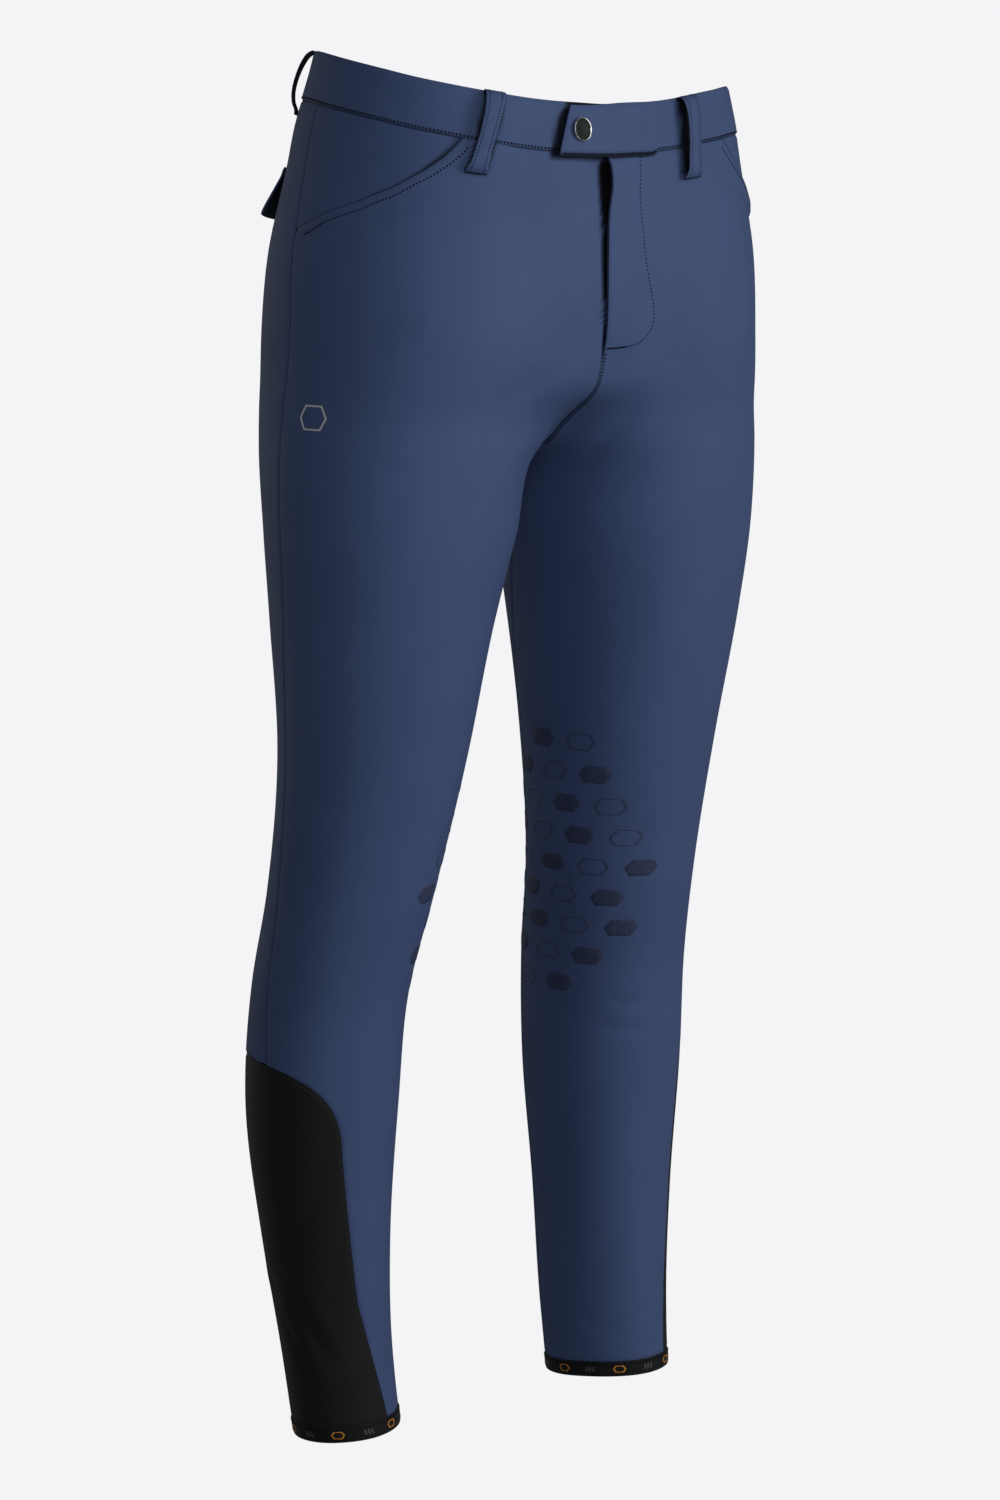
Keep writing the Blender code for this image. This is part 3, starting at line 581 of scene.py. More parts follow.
def tab_shade(side, level, out):
    """How much painted shade places below the tab's lower edge, and beside its end, get."""
    edge = BAND_DEPTH + TAB_DROP
    line = (1 - smooth(level, edge + 0.3, edge + 1.8)) * (1 - smooth(out, *TAB_SHADE_END))
    if side == LEFT:
        return PAINTED_SHADE_DEPTHS["tab_seam"] * line
    end = TAB_REACH - TAB_SLANT * (1 - np.minimum(level, edge) / BAND_DEPTH)
    width = TAB_SHADE * smooth(level, 0.5, 9) * (1 - 0.3 * smooth(level, 20, 31))
    beside = (1 - smooth(out - end, 0.25 * width, width + 0.05)) * (1 - smooth(level, *TAB_SHADE_FOOT))
    return PAINTED_SHADE_DEPTHS["tab"] * np.maximum(beside, np.where(level > BAND_DEPTH, line, 0))


def seam_shade(roll):
    """How much painted shade the points of a panel get in the fine gap at its own sewn edges."""
    return PAINTED_SHADE_DEPTHS["seam"] * smooth(roll / SEAM_ROLL, 0.86, 1)


def fly_shade(level, out):
    """How much painted shade a place on the right front gets in the gap below the fly's edge."""
    start, full, less, end = FLY_GAPE_LEVELS
    closing = FLY_SHADE_LESS[0] * smooth(level, full, less) + FLY_SHADE_LESS[1] * smooth(level, less, end)
    width = FLY_SHADE * (1 - closing)
    along = smooth(level, start - 4, start + 6) * (1 - smooth(level, end, end + 8))
    return (1 - smooth(out, FLY_BOW_OUT + 0.3 * width, FLY_BOW_OUT + width)) * along


WAVE_SCALE = 1000 / 3.1416 * 0.5  # the scale of a wave pattern for about one rib in two millimetres
STRETCH_DARK, STRETCH_LIGHT, STRETCH_ROUGHNESS = (0.059, 0.093, 0.205), (0.066, 0.103, 0.226), 0.66
TWILL_RIBS, TWILL_SLANT = 2.2, 0.6  # ribs in two millimetres, and their slant in radians
# The near black colour of the painted shade in gaps and behind parts.
PAINTED_SHADE_COLOUR = (0.0012, 0.0013, 0.0022, 1)


def new_material(name):
    """A material, its nodes' tree and its shader."""
    material = bpy.data.materials.new(name)
    material.use_nodes = True
    return material, material.node_tree, material.node_tree.nodes["Principled BSDF"]


def set_inputs(tree, node, inputs):
    """Gives each named input its value, or links to it the output that is given."""
    for name, given in inputs.items():
        if isinstance(given, bpy.types.NodeSocket):
            tree.links.new(given, node.inputs[name])
        else:
            node.inputs[name].default_value = given


def add_node(tree, kind, output, inputs=None, **settings):
    """The named output of a new node, which has these inputs and settings."""
    node = tree.nodes.new("ShaderNode" + kind)
    for name, value in settings.items():
        setattr(node, name, value)
    set_inputs(tree, node, inputs or {})
    return node.outputs[output]


def ramp(tree, factor, dark, light, ends=(0, 1)):
    """A colour that runs from dark to light while the factor runs from end to end."""
    node = tree.nodes.new("ShaderNodeValToRGB")
    tree.links.new(factor, node.inputs["Fac"])
    for element, place, colour in zip(node.color_ramp.elements, ends, (dark, light)):
        element.position, element.color = place, (*colour, 1)
    return node.outputs["Color"]


def shades(colour, darker, lighter):
    """A darker and a lighter shade of a colour."""
    return [[min(1, share * value) for value in colour] for share in (darker, lighter)]


def bump(tree, height, strength, distance):
    """The normal of a relief, whose depth is in millimetres."""
    inputs = {"Strength": strength, "Distance": distance * MM, "Height": height}
    return add_node(tree, "Bump", "Normal", inputs)


def make_stretch_cloth():
    """Matt satin stretch cloth: fine uneven twill ribs, a mottled dye that is a little darker in the ribs'
    hollows as painted shade, and a near black painted shade in tight gaps and behind parts.
    """
    material, tree, shader = new_material("stretch_cloth")
    flat = add_node(tree, "UVMap", "UV", uv_map="flat_cloth")
    turned = {"Vector": flat, "Angle": TWILL_SLANT}
    turned = add_node(tree, "VectorRotate", "Vector", turned, rotation_type="Z_AXIS")
    ribs = {"Vector": turned, "Scale": TWILL_RIBS * WAVE_SCALE}
    ribs.update({"Distortion": 0.6, "Detail": 1, "Detail Scale": 1.5})
    ribs = add_node(tree, "TexWave", "Fac", ribs, bands_direction="X")
    threads = add_node(tree, "TexNoise", "Fac", {"Vector": flat, "Scale": 1400, "Detail": 2})
    relief = add_node(tree, "Mix", "Result", {"Factor": 0.45, "A": ribs, "B": threads})
    mottling = {"Vector": add_node(tree, "TexCoord", "Object"), "Scale": 14, "Detail": 4, "Roughness": 0.62}
    mottling = add_node(tree, "TexNoise", "Fac", mottling)
    dye = ramp(tree, mottling, STRETCH_DARK, STRETCH_LIGHT, (0.3, 0.7))
    # The dye is multiplied by the relief, so it is darker where the relief is low: a painted shade in its
    # hollows.
    threads = {"Factor": 0.16, "A": dye, "B": relief}
    threads = add_node(tree, "Mix", "Result", threads, data_type="RGBA", blend_type="MULTIPLY")
    # The painted shade: this attribute mixes the colour towards near black.
    painted_shade = add_node(tree, "Attribute", "Fac", attribute_name="painted_shade")
    into_painted_shade = {"Factor": painted_shade, "A": threads, "B": PAINTED_SHADE_COLOUR}
    gloss = {"To Min": STRETCH_ROUGHNESS + 0.05, "To Max": STRETCH_ROUGHNESS - 0.05, "Value": mottling}
    finish = {
        "Base Color": add_node(tree, "Mix", "Result", into_painted_shade, data_type="RGBA"),
        "Roughness": add_node(tree, "MapRange", "Result", gloss),
        "Normal": bump(tree, relief, 0.35, 0.12),
        "Specular IOR Level": 0.14,
    }
    set_inputs(tree, shader, finish)
    return material


stretch_cloth = make_stretch_cloth()

FRONT_COLUMNS, FRONT_GRAIN = 66, -90
# How far from the fork, and from the calf panel's arch, rows of points are added before and after.
NEAR_FORK = ((-16, -13.5, -11, -9, -7, -5.2, -3.6, -2.2, -1.1, -0.4), (0.4, 1.2, 2.4, 4, 6, 8.5, 11.5, 15))
NEAR_ARCH = ((-4, -2, -0.9, -0.3), (0.15, 0.5, 0.9, 1.4, 2, 2.8, 3.8, 5, 6.4, 8, 10, 12.5, 15.5))
LEG_LEVELS = crowded(BAND_DEPTH, HEM_BAND_TOP, ((FORK, *NEAR_FORK), (CALF_TOP, *NEAR_ARCH)))


def fork_side(level, ahead):
    """The angle of a panel's edge at the middle, and below the fork at the inner seam."""
    if level >= FORK:
        return inseam(level) - (360 if ahead else 0)
    angle = middle_angle(level, 0.0, ahead)
    return angle - 360 if ahead and angle > 90 else angle


def fly_side(side, level):
    """The angle of a front's edge at the fly, with the right one's underlap, and below it at the middle."""
    if level >= FLY_END:
        return fork_side(level, True)
    lap = UNDERLAP * (1 - smooth(level, *UNDERLAP_END))
    bow = FLY_BOW * np.exp(-(((level - FLY_BOW_AT) / FLY_BOW_SPAN) ** 2))
    return middle_angle(level, -lap if side == RIGHT else bow, True)


def near_seam(side, level, angle):
    """The angle that spans half of the gap between two sewn edges."""
    points, _ = base(side, level, angle)
    leg = section(points[..., 2])
    reach = np.hypot(points[..., 0] - leg["axis_out"], points[..., 1] - leg["axis_back"])
    return np.degrees(SEWN / 2 / reach)


def sewn_edges(side, levels, starts, ends):
    """A panel's two edges, moved apart from its neighbours' edges."""
    return starts + near_seam(side, levels, starts), ends - near_seam(side, levels, ends)


def make_front(side, name):
    starts = np.array([fly_side(side, level) for level in LEG_LEVELS])
    edges = sewn_edges(side, LEG_LEVELS, starts, pocket_or_outseam(LEG_LEVELS, side))
    past_middle = ((LEG_LEVELS < UNDERLAP_END[1]) & (side == RIGHT))[:, None]
    level, angles, along, points, _ = laid_out(side, LEG_LEVELS, *edges, FRONT_COLUMNS, past_middle)
    lowered = band_bottom(side, points[..., 0]) - BAND_DEPTH
    level = level + lowered * (1 - smooth(level, BAND_DEPTH, BAND_DEPTH + 9))
    points, normal = base(side, level, angles, past_middle)
    out, fold, roll = points[..., 0], folded(side, points), rolled(points)
    outer_off, inner_off = front_rise(side, level, angles, out)
    # Painted shade: behind and beside the belt loops, below and beside the tab, at the sewn edges, and on
    # the right front in the gap below the fly's edge.
    painted_shades = [loop_shade(side, level, angles), tab_shade(side, level, out), seam_shade(roll)]
    if side == RIGHT:
        painted_shades.append(fly_shade(level, out))
    grid = (level, from_grain(along, angles, FRONT_GRAIN), points, normal)
    offs = (outer_off + fold - roll, inner_off + fold)
    least_out, shut_in = np.where(past_middle, -np.inf, SEWN / 2), np.maximum.reduce(painted_shades)
    piece = sew_panel("front_" + name, side, stretch_cloth, grid, offs, least_out, shut_in=shut_in)
    declare(piece, "front_leg_" + name)


for side, name in SIDES:
    make_front(side, name)


# ---------------------------------------------------------------- the backs of the legs
# Each back runs from the outseam round to the seat seam and the inner seam, in the same cloth. Its
# outer edge is cut away below the knee for the calf panel, and the seat is cut with room to sit.

BACK_COLUMNS, BACK_GRAIN = 54, 90


def make_back(side, name):
    starts = outseam(np.minimum(LEG_LEVELS, CALF_TOP), side)
    starts = np.where(LEG_LEVELS > CALF_TOP, np.maximum(starts, calf_sides(LEG_LEVELS, side)[1]), starts)
    ends = np.array([fork_side(level, False) for level in LEG_LEVELS])
    edges = sewn_edges(side, LEG_LEVELS, starts, ends)
    level, angles, along, points, normal = laid_out(side, LEG_LEVELS, *edges, BACK_COLUMNS)
    fold, roll = folded(side, points), rolled(points)
    grid, offs = (level, from_grain(along, angles, BACK_GRAIN), points, normal), (fold - roll, fold - CLOTH)
    # The back's sewn edges get a painted shade.
    piece = sew_panel("back_" + name, side, stretch_cloth, grid, offs, shut_in=seam_shade(roll))
    declare(piece, "back_leg_" + name)


for side, name in SIDES:
    make_back(side, name)


# ---------------------------------------------------------------- the calf panels
# A matt black elastic knit is let into the outer calf, so that the leg lies close in the boot. Its
# upper end is an arch, and the knit wrinkles softly above the ankle.

CALF_COLUMNS, CALF_GRAIN = 40, 15
CALF_SINK = 0.1  # how far the knit lies below the cloth round it


def knit_material(name, colour, wales, courses, roughness):
    """Elastic knit or webbing: so many raised wales and courses in two millimetres, in nearly black yarn,
    with painted shade in the hollows and a painted highlight on the crests.
    """
    material, tree, shader = new_material(name)
    flat = add_node(tree, "UVMap", "UV", uv_map="flat_cloth")
    waves = []
    for direction, ribs in (("X", wales), ("Y", courses)):
        wave = {"Vector": flat, "Scale": ribs * WAVE_SCALE, "Distortion": 0.4, "Detail": 1}
        waves.append(add_node(tree, "TexWave", "Fac", wave, bands_direction=direction))
    relief = add_node(tree, "Mix", "Result", {"Factor": 0.35, "A": waves[0], "B": waves[1]})
    # The colour follows the relief: a painted shade in its hollows and a painted highlight on its crests.
    finish = {
        "Base Color": ramp(tree, relief, *shades(colour, 0.55, 1.25)),
        "Normal": bump(tree, relief, 0.4, 0.2),
        "Roughness": roughness,
        "Specular IOR Level": 0.25,
        "Sheen Weight": 0.04,
    }
    set_inputs(tree, shader, finish)
    return material


elastic_cloth = knit_material("elastic_cloth", (0.0075, 0.0075, 0.0080), 1.1, 1.6, 0.78)


def make_calf_panel(side, name):
    top = CALF_TOP + SEAM
    levels = crowded(top, HEM_BAND_TOP, ((top, (0,), NEAR_ARCH[1]),))
    levels = levels[levels >= top + 0.15]
    edges = sewn_edges(side, levels, *calf_sides(levels - SEAM, side))
    level, angles, along, points, normal = laid_out(side, levels, *edges, CALF_COLUMNS)
    fold, roll = folded(side, points), rolled(points)
    grid = (level, from_grain(along, angles, CALF_GRAIN), points, normal)
    piece = sew_panel("calf_" + name, side, elastic_cloth, grid, (fold - roll - CALF_SINK, fold - CLOTH))
    declare(piece, "calf_panel_" + name)


for side, name in SIDES:
    make_calf_panel(side, name)


# ---------------------------------------------------------------- the pocket facings
# The hip above each slanted pocket is a piece of its own. It runs on below the turned pocket mouth,
# and is caught in the waistband and in the outseam.

FACING_COLUMNS, FACING_GRAIN = 30, -30
FACING_TUCK = 6
MOUTH_DEGREE, MOUTH_SHADE = 0.75 * DEGREE, (0.3, 1.7)  # the painted shade line below the turned pocket mouth


def make_facing(side, name):
    levels = crowded(BAND_DEPTH, POCKET_END - SEAM)
    starts, ends = straight_table(POCKET_MOUTH, levels) - FACING_TUCK, outseam(levels, side)
    ends = ends - near_seam(side, levels, ends)
    level, angles, along, points, normal = laid_out(side, levels, starts, ends, FACING_COLUMNS)
    roll = rolled(points)
    from_mouth = (angles - straight_table(POCKET_MOUTH, level)) * MOUTH_DEGREE
    # Painted shade along the pocket mouth's edge, and at the sewn edges.
    shut_in = np.maximum(seam_shade(roll), PAINTED_SHADE_DEPTHS["mouth"] * (1 - smooth(from_mouth, *MOUTH_SHADE)))
    grid, offs = (level, from_grain(along, angles, FACING_GRAIN), points, normal), (-roll, 0 * roll - CLOTH)
    piece = sew_panel("facing_" + name, side, stretch_cloth, grid, offs, shut_in=shut_in)
    declare(piece, "pocket_facing_" + name)


for side, name in SIDES:
    make_facing(side, name)


# ---------------------------------------------------------------- the waistband
# Two halves of cloth folded over an elastic, joined behind. The left half runs on as the tab, which
# lies over the right half in front and is held by the snap. Its lower edge hangs over the seam.

BAND_OUTSIDE, BAND_INSIDE = 0.6, -2.0
BAND_ROLL_WIDTH, BAND_ROLL, BAND_RIM = 2.6, 0.75, 0.35
UNDERLAP_DIP, UNDERLAP_DIP_WIDTH = 0.6, 16  # the right half lies a little lower below the tab
TAB_RISE, TAB_CURL, TAB_CURL_FROM = (17, 38), 3.0, (-39, -8)
TAB_TOP_DROP, TAB_TOP_DROP_FROM = 1.6, (-20, 12)
BAND_COLUMNS = 132
BAND_ROWS = (0, 0.35, 0.9, 1.7, 3, 6, 9.5, 13, 16.5, 20, 23, 25.5, 27.5, 29, 30.1, 31)


def band_rise(side, out):
    """How far the tab's end of the band stands out, over the other half."""
    if side == RIGHT:
        return -UNDERLAP_DIP * np.exp(-(((out + 2) / UNDERLAP_DIP_WIDTH) ** 2))
    lift = BAND_OUTSIDE + LAY - BAND_INSIDE
    return (1 - smooth(out, *TAB_RISE)) * lift + TAB_CURL * (1 - smooth(out, *TAB_CURL_FROM))


def make_waistband(side, name):
    rows = np.array(BAND_ROWS, float)
    tab = TAB_REACH - TAB_SLANT * (1 - rows / BAND_DEPTH)
    reaches = tab if side == LEFT else np.full_like(rows, UNDERLAP)
    starts = np.array([middle_angle(row, -reach, True) for row, reach in zip(rows, reaches)])
    ends = np.array([middle_angle(row, 0.0, False) for row in rows])
    level, angles, along, points, _ = laid_out(side, rows, starts, ends, BAND_COLUMNS, True)
    out, down = points[..., 0], level / BAND_DEPTH
    level = level + (band_bottom(side, out) - BAND_DEPTH - SEAM) * down**3
    if side == LEFT:
        level = level + TAB_TOP_DROP * (1 - smooth(out, *TAB_TOP_DROP_FROM)) * (1 - down) ** 2
    points, normal = base(side, level, angles, True)
    rise, roll = band_rise(side, points[..., 0]), rolled(points, BAND_ROLL_WIDTH, BAND_ROLL)
    # Painted shade: behind the belt loops, a dark line along the band's lower edge, and on the right half
    # beside and below the tab's end, in front only.
    painted_shades = [loop_shade(side, level, angles), PAINTED_SHADE_DEPTHS["band"] * smooth(level, BAND_DEPTH - 0.7, BAND_DEPTH)]
    if side == RIGHT:
        in_front = points[..., 1] < 0
        painted_shades.append(in_front * tab_shade(side, level, points[..., 0]))
    least_out = np.full(angles.shape[1], -np.inf)
    least_out[-1] = SEWN / 2
    grid, wall = (level, along, points, normal), {"rim": BAND_RIM, "shut_in": np.maximum.reduce(painted_shades)}
    offs = (BAND_OUTSIDE + rise - roll, BAND_INSIDE + rise + roll * 0.4)
    piece = sew_panel("band_" + name, side, stretch_cloth, grid, offs, least_out, **wall)
    declare(piece, "waistband_" + name)


for side, name in SIDES:
    make_waistband(side, name)


# ---------------------------------------------------------------- the hem bands
# A narrow black ribbed elastic is sewn on round each hem, and holds it under the boot. Small woven
# marks go round it by turns: an orange outline, and a group of grey bars.

HEM_BAND_THICKNESS = 1.9
HEM_BAND_OUTSIDE = HEM_BAND_THICKNESS - CLOTH
HEM_ROLL, HEM_ROLL_WIDTH = 0.6, 2.2
HEM_COLUMNS = 110
HEM_BAND_ROWS = (0.0, 0.5, 1.2, 2.1, 3.4, 5, 6.7, 8.2, 9.2, 9.9, 10.3, 10.5)
MARK_PITCH, MARK_FROM, MARKS_BEFORE = 22, 6, 6
MARK_HALF_HEIGHT, MARK_OFF, MARK_RISE = 2.5, 0.08, 0.12
OUTLINE_HALF, OUTLINE_LINE = 4.9, 0.6
BAR_HALF, BAR_GAP, BAR_HEIGHT, BAR_DRIFT, BAR_RISE = 1.045, 2.6, 2.0, 0.25, 0.1

hem_elastic = knit_material("hem_elastic", (0.0045, 0.0045, 0.0055), 0.4, 1.4, 0.8)


def thread_material(name, colour, roughness, metallic=0.0, fineness=3.0):
    """Sewn or woven thread, or a printed film, with fine lighter and darker flecks."""
    material, tree, shader = new_material(name)
    fibres = {"Vector": add_node(tree, "TexCoord", "Object"), "Scale": fineness / MM, "Detail": 2}
    fibres = add_node(tree, "TexNoise", "Fac", fibres)
    finish = {
        "Base Color": ramp(tree, fibres, *shades(colour, 0.75, 1.2), (0.35, 0.65)),
        "Normal": bump(tree, fibres, 0.3, 0.08),
        "Roughness": roughness,
        "Metallic": metallic,
        "Specular IOR Level": 0.15,
    }
    set_inputs(tree, shader, finish)
    return material


orange_yarn = thread_material("orange_yarn", (0.60, 0.25, 0.035), 0.6)
grey_yarn = thread_material("grey_yarn", (0.055, 0.057, 0.062), 0.6)


def ring_faces(count, rings, closed=False):
    """Faces between rings of points in a row, and from the last ring to the first if closed."""
    index = np.arange(rings * count).reshape(rings, count)
    if closed:
        index = np.vstack([index, index[:1]])
    after = np.roll(index, -1, axis=1)
    return np.stack([index[:-1], after[:-1], after[1:], index[1:]], axis=-1).reshape(-1, 4).tolist()


def round_leg(side, level, start, distance):
    """The angles of places on a leg at the given distances along the cloth from the start angle."""
    angles = np.linspace(start - 200, start + 200, 401)
    points, _ = base(side, level, angles)
    along = np.concatenate([[0], np.cumsum(np.linalg.norm(np.diff(points, axis=0), axis=1))])
    return np.interp(distance + np.interp(start, angles, along), along, angles)


def laid_on(side, level, angle, off, past_middle=False):
    """Points off the surface, with its folds, and their normals, in the object's own frame."""
    points, normal = base(side, level, angle, past_middle)
    points = points + normal * (folded(side, points) + off)[..., None]
    return points * (side, 1, 1), normal * (side, 1, 1)


def lozenge(half_width, half_height, drift, points_a_side=3):
    """The outline of a six-sided lozenge, as places across and up, which leans by the drift."""
    corners = np.array([(-1, 0), (-0.62, 1), (0.62, 1), (1, 0), (0.62, -1), (-0.62, -1)])
    corners = corners * (half_width, half_height)
    corners[:, 0] += corners[:, 1] * drift
    share = np.linspace(0, 1, points_a_side, endpoint=False)[:, None]
    sides = [start + (end - start) * share for start, end in zip(corners, np.roll(corners, -1, axis=0))]
    return np.concatenate(sides)


def patch(side, level, angle, half_width, half_height, off, rise, drift=0.0, line=None):
    """A raised lozenge, or its outline in a line of that width, as points and faces."""
    filled = line is None
    shape, shares = lozenge(half_width, half_height, drift), np.array((1, 0.97, 0.66, 0.33, 0))
    if not filled:
        shares = 1 - np.array((0, 0.25, 0.75, 1)) * line / half_height
    offs = off + rise * np.array((0, 1, 1, filled, filled))
    points = []
    for share, up in zip(shares, offs):
        ring = shape * share if share else shape[:1] * 0  # the middle of a filled one is one point
        around = round_leg(side, level, angle, ring[:, 0])
        points.append(laid_on(side, level - ring[:, 1], around, up)[0])
    count = len(shape)
    faces = ring_faces(count, 4)
    if filled:
        last = 3 * count
        faces += [[last + index, last + (index + 1) % count, last + count] for index in range(count)]
    return np.concatenate(points), faces


def joined(name, patches, material):
    """One piece of several patches, which rides on the breeches."""
    points, faces, count = [], [], 0
    for patch_points, patch_faces in patches:
        points.append(patch_points)
        faces += [[index + count for index in face] for face in patch_faces]
        count += len(patch_points)
    declare(new_object(name, np.concatenate(points), faces, material))


def make_hem_band(side, name):
    level = (HEM_BAND_TOP + np.array(HEM_BAND_ROWS))[:, None]
    angles = np.linspace(-180, 180, HEM_COLUMNS, endpoint=False)
    level, angles = np.broadcast_arrays(level, angles)
    points, normal = base(side, level, angles)
    from_edge = np.minimum(level - HEM_BAND_TOP, HEM - level)
    roll = HEM_ROLL * (1 - smooth(from_edge, 0, HEM_ROLL_WIDTH))
    outer = points + normal * (HEM_BAND_OUTSIDE + 0.1 - roll)[..., None]
    inner = points + normal * (roll * 0.3 - CLOTH)[..., None]
    steps = np.linalg.norm(np.diff(points, axis=1, append=points[:, :1]), axis=2)
    flat_map = np.stack([np.cumsum(steps, axis=1), -level], axis=-1)
    rings = np.concatenate([outer, inner[::-1]]) * (side, 1, 1)
    flat = np.concatenate([flat_map, flat_map[::-1]]).reshape(-1, 2)
    faces = ring_faces(HEM_COLUMNS, len(rings), closed=True)
    piece = new_object("hem_" + name, rings.reshape(-1, 3), faces, hem_elastic, flat, sharp=60)
    declare(piece, "hem_band_" + name)
    middle, off = (HEM_BAND_TOP + HEM) / 2, HEM_BAND_OUTSIDE + MARK_OFF
    round_trip = float(steps[len(steps) // 2].sum())
    outlines, bars = [], []
    for index in range(int(round_trip // MARK_PITCH)):
        angle = round_leg(side, middle, -90.0, MARK_FROM + MARK_PITCH * (index - MARKS_BEFORE))
        if index % 2:
            size = (OUTLINE_HALF, MARK_HALF_HEIGHT, off, MARK_RISE)
            outlines.append(patch(side, middle, angle, *size, line=OUTLINE_LINE))
            continue
        for step in (-1, 0, 1):
            at = round_leg(side, middle, angle, step * BAR_GAP)
            bars.append(patch(side, middle, at, BAR_HALF, BAR_HEIGHT, off, BAR_RISE, BAR_DRIFT))
    joined("hem_outlines_" + name, outlines, orange_yarn)
    joined("hem_bars_" + name, bars, grey_yarn)


for side, name in SIDES:
    make_hem_band(side, name)


# ---------------------------------------------------------------- the belt loops
# Each loop is a narrow strap folded from the cloth, with a row of stitches along both edges. It is
# turned in just below the waist edge, bows off the band, and ends in a tucked foot with a bar of thread.

LOOP_CLOTH, LOOP_RIM = 1.5, 0.2
LOOP_FOOT = (35, 46)
LOOP_COLUMNS = np.array((-1, -0.965, -0.91, -0.8, -0.6, -0.3, 0, 0.3, 0.6, 0.8, 0.91, 0.965, 1))
LOOP_STITCH, LOOP_DIP, LOOP_DIP_WIDTH = 0.62, 0.16, 0.09  # the strap sinks a little at its stitches
LOOP_ROLL, LOOP_ROLL_FROM = 0.55, 0.78
# Pitch, length, half width and height of a stitch.
STITCH, TACK_PITCH = (2.4, 1.3, 0.55, 0.4), 1.15
LOOP_SEWING, LOOP_TACK = (2.0, 1.3, 0.36, 0.28), (0.95, 1.3, 0.3, 0.3)
STITCH_SIDES = 6

# Dark thread, made darker still as a painted shade of the needle holes between the stitches.
stitch_thread_and_pit_shade = thread_material("stitch_thread_and_pit_shade", (0.0022, 0.003, 0.008), 0.85)


def stitches(route, normal, pitch=STITCH[0], length=STITCH[1], width=STITCH[2], height=STITCH[3]):
    """Stitches laid end to end along a route over the cloth, as points and faces."""
    along = np.concatenate([[0], np.cumsum(np.linalg.norm(np.diff(route, axis=0), axis=1))])
    middles = np.arange(pitch / 2, along[-1], pitch)

    def read_at(places, values):
        return np.stack([np.interp(places, along, values[:, axis]) for axis in range(3)], axis=1)

    start, centre, end = (read_at(middles + shift, route) for shift in (-length / 2, 0, length / 2))
    up = read_at(middles, normal)
    run = (end - start) / np.linalg.norm(end - start, axis=1, keepdims=True)
    across = np.cross(up, run)
    across /= np.linalg.norm(across, axis=1, keepdims=True)
    points = [centre - run * length / 2 - up * height]
    for share in (-0.32, 0.32):
        for angle in np.linspace(0, 2 * np.pi, STITCH_SIDES, endpoint=False):
            bow = across * width * np.cos(angle) + up * height * np.sin(angle)
            points.append(centre + run * length * share + bow)
    points.append(centre + run * length / 2 - up * height)
    each, faces = len(points), []
    for first in range(0, each * len(middles), each):
        for index in range(1, STITCH_SIDES + 1):
            after, far = index % STITCH_SIDES + 1, first + STITCH_SIDES
            faces.append([first, first + after, first + index])
            faces.append([first + index, first + after, far + after, far + index])
            faces.append([first + each - 1, far + index, far + after])
    return np.stack(points, axis=1).reshape(-1, 3), faces


def make_belt_loop(name, loop_rows, side, top_angle, foot_angle, foot_off):
    numbered = [(index, *row) for index, row in enumerate(loop_rows)]
    fine = smooth_table(numbered, np.linspace(0, len(numbered) - 1, 5 * len(numbered)))[:, 1:]
    fine, halves = fine[:, :2], fine[:, 2] / 2
    fine[:, 1] += foot_off * smooth(fine[:, 0], *LOOP_FOOT)
    along = np.gradient(fine, axis=0)
    along /= np.linalg.norm(along, axis=1, keepdims=True)
    across = np.stack([-along[:, 1], along[:, 0]], axis=1)
    length = np.concatenate([[0], np.cumsum(np.linalg.norm(np.diff(fine, axis=0), axis=1))])
    edge = np.abs(LOOP_COLUMNS)
    edge_roll = LOOP_ROLL * smooth(edge, LOOP_ROLL_FROM, 1)
    seam_dip = LOOP_DIP * np.exp(-(((edge - LOOP_STITCH) / LOOP_DIP_WIDTH) ** 2))
    outer, inner, flat_map = [], [], []
    for row, half, turn, far in zip(fine, halves, across, length):
        angle = top_angle + (foot_angle - top_angle) * np.clip(row[0] / fine[-1, 0], 0, 1)
        width = round_leg(side, row[0], angle, LOOP_COLUMNS * half)
        over = row + turn * LOOP_CLOTH
        outer.append(laid_on(side, over[0], width, BAND_OUTSIDE + over[1] - edge_roll - seam_dip)[0])
        inner.append(laid_on(side, row[0], width, BAND_OUTSIDE + row[1] + edge_roll * 0.5)[0])
        flat_map.append(np.stack([LOOP_COLUMNS * half, np.full_like(edge, -far)], axis=1))
    outer, inner = np.array(outer), np.array(inner)
    # Painted shade: the strap's edges and foot are darkened, and its whole inside is darkened.
    at_foot = PAINTED_SHADE_DEPTHS["loop_foot"] * smooth(length, length[-1] - 1.4, length[-1] - 0.3)[:, None]
    at_edge = PAINTED_SHADE_DEPTHS["loop_edge"] * smooth(edge, 0.93, 1)
    shut = {"shut_in": np.maximum(at_edge, at_foot), "shut_inside": PAINTED_SHADE_DEPTHS["loop"]}
    piece = cloth_wall("loop_" + name, outer, inner, np.array(flat_map), stretch_cloth, LOOP_RIM, **shut)
    declare(piece, "belt_loop_" + name)
    ups = outer - inner
    ups /= np.linalg.norm(ups, axis=2, keepdims=True)
    sewn = []
    for column in (-LOOP_STITCH, LOOP_STITCH):
        index = np.abs(LOOP_COLUMNS - column).argmin()
        sewn.append(stitches(outer[6:-2, index], ups[6:-2, index], *LOOP_SEWING))
    sewn.append(stitches(outer[-5, 1:-1], ups[-5, 1:-1], *LOOP_TACK))
    joined("loop_sewing_" + name, sewn, stitch_thread_and_pit_shade)


for loop in BELT_LOOPS:
    make_belt_loop(*loop)


# ---------------------------------------------------------------- the back pocket flaps
# A pointed flap of double cloth is sewn on below the band behind each hip. Its free lower edge
# stands off the seat, with a row of stitches round it.

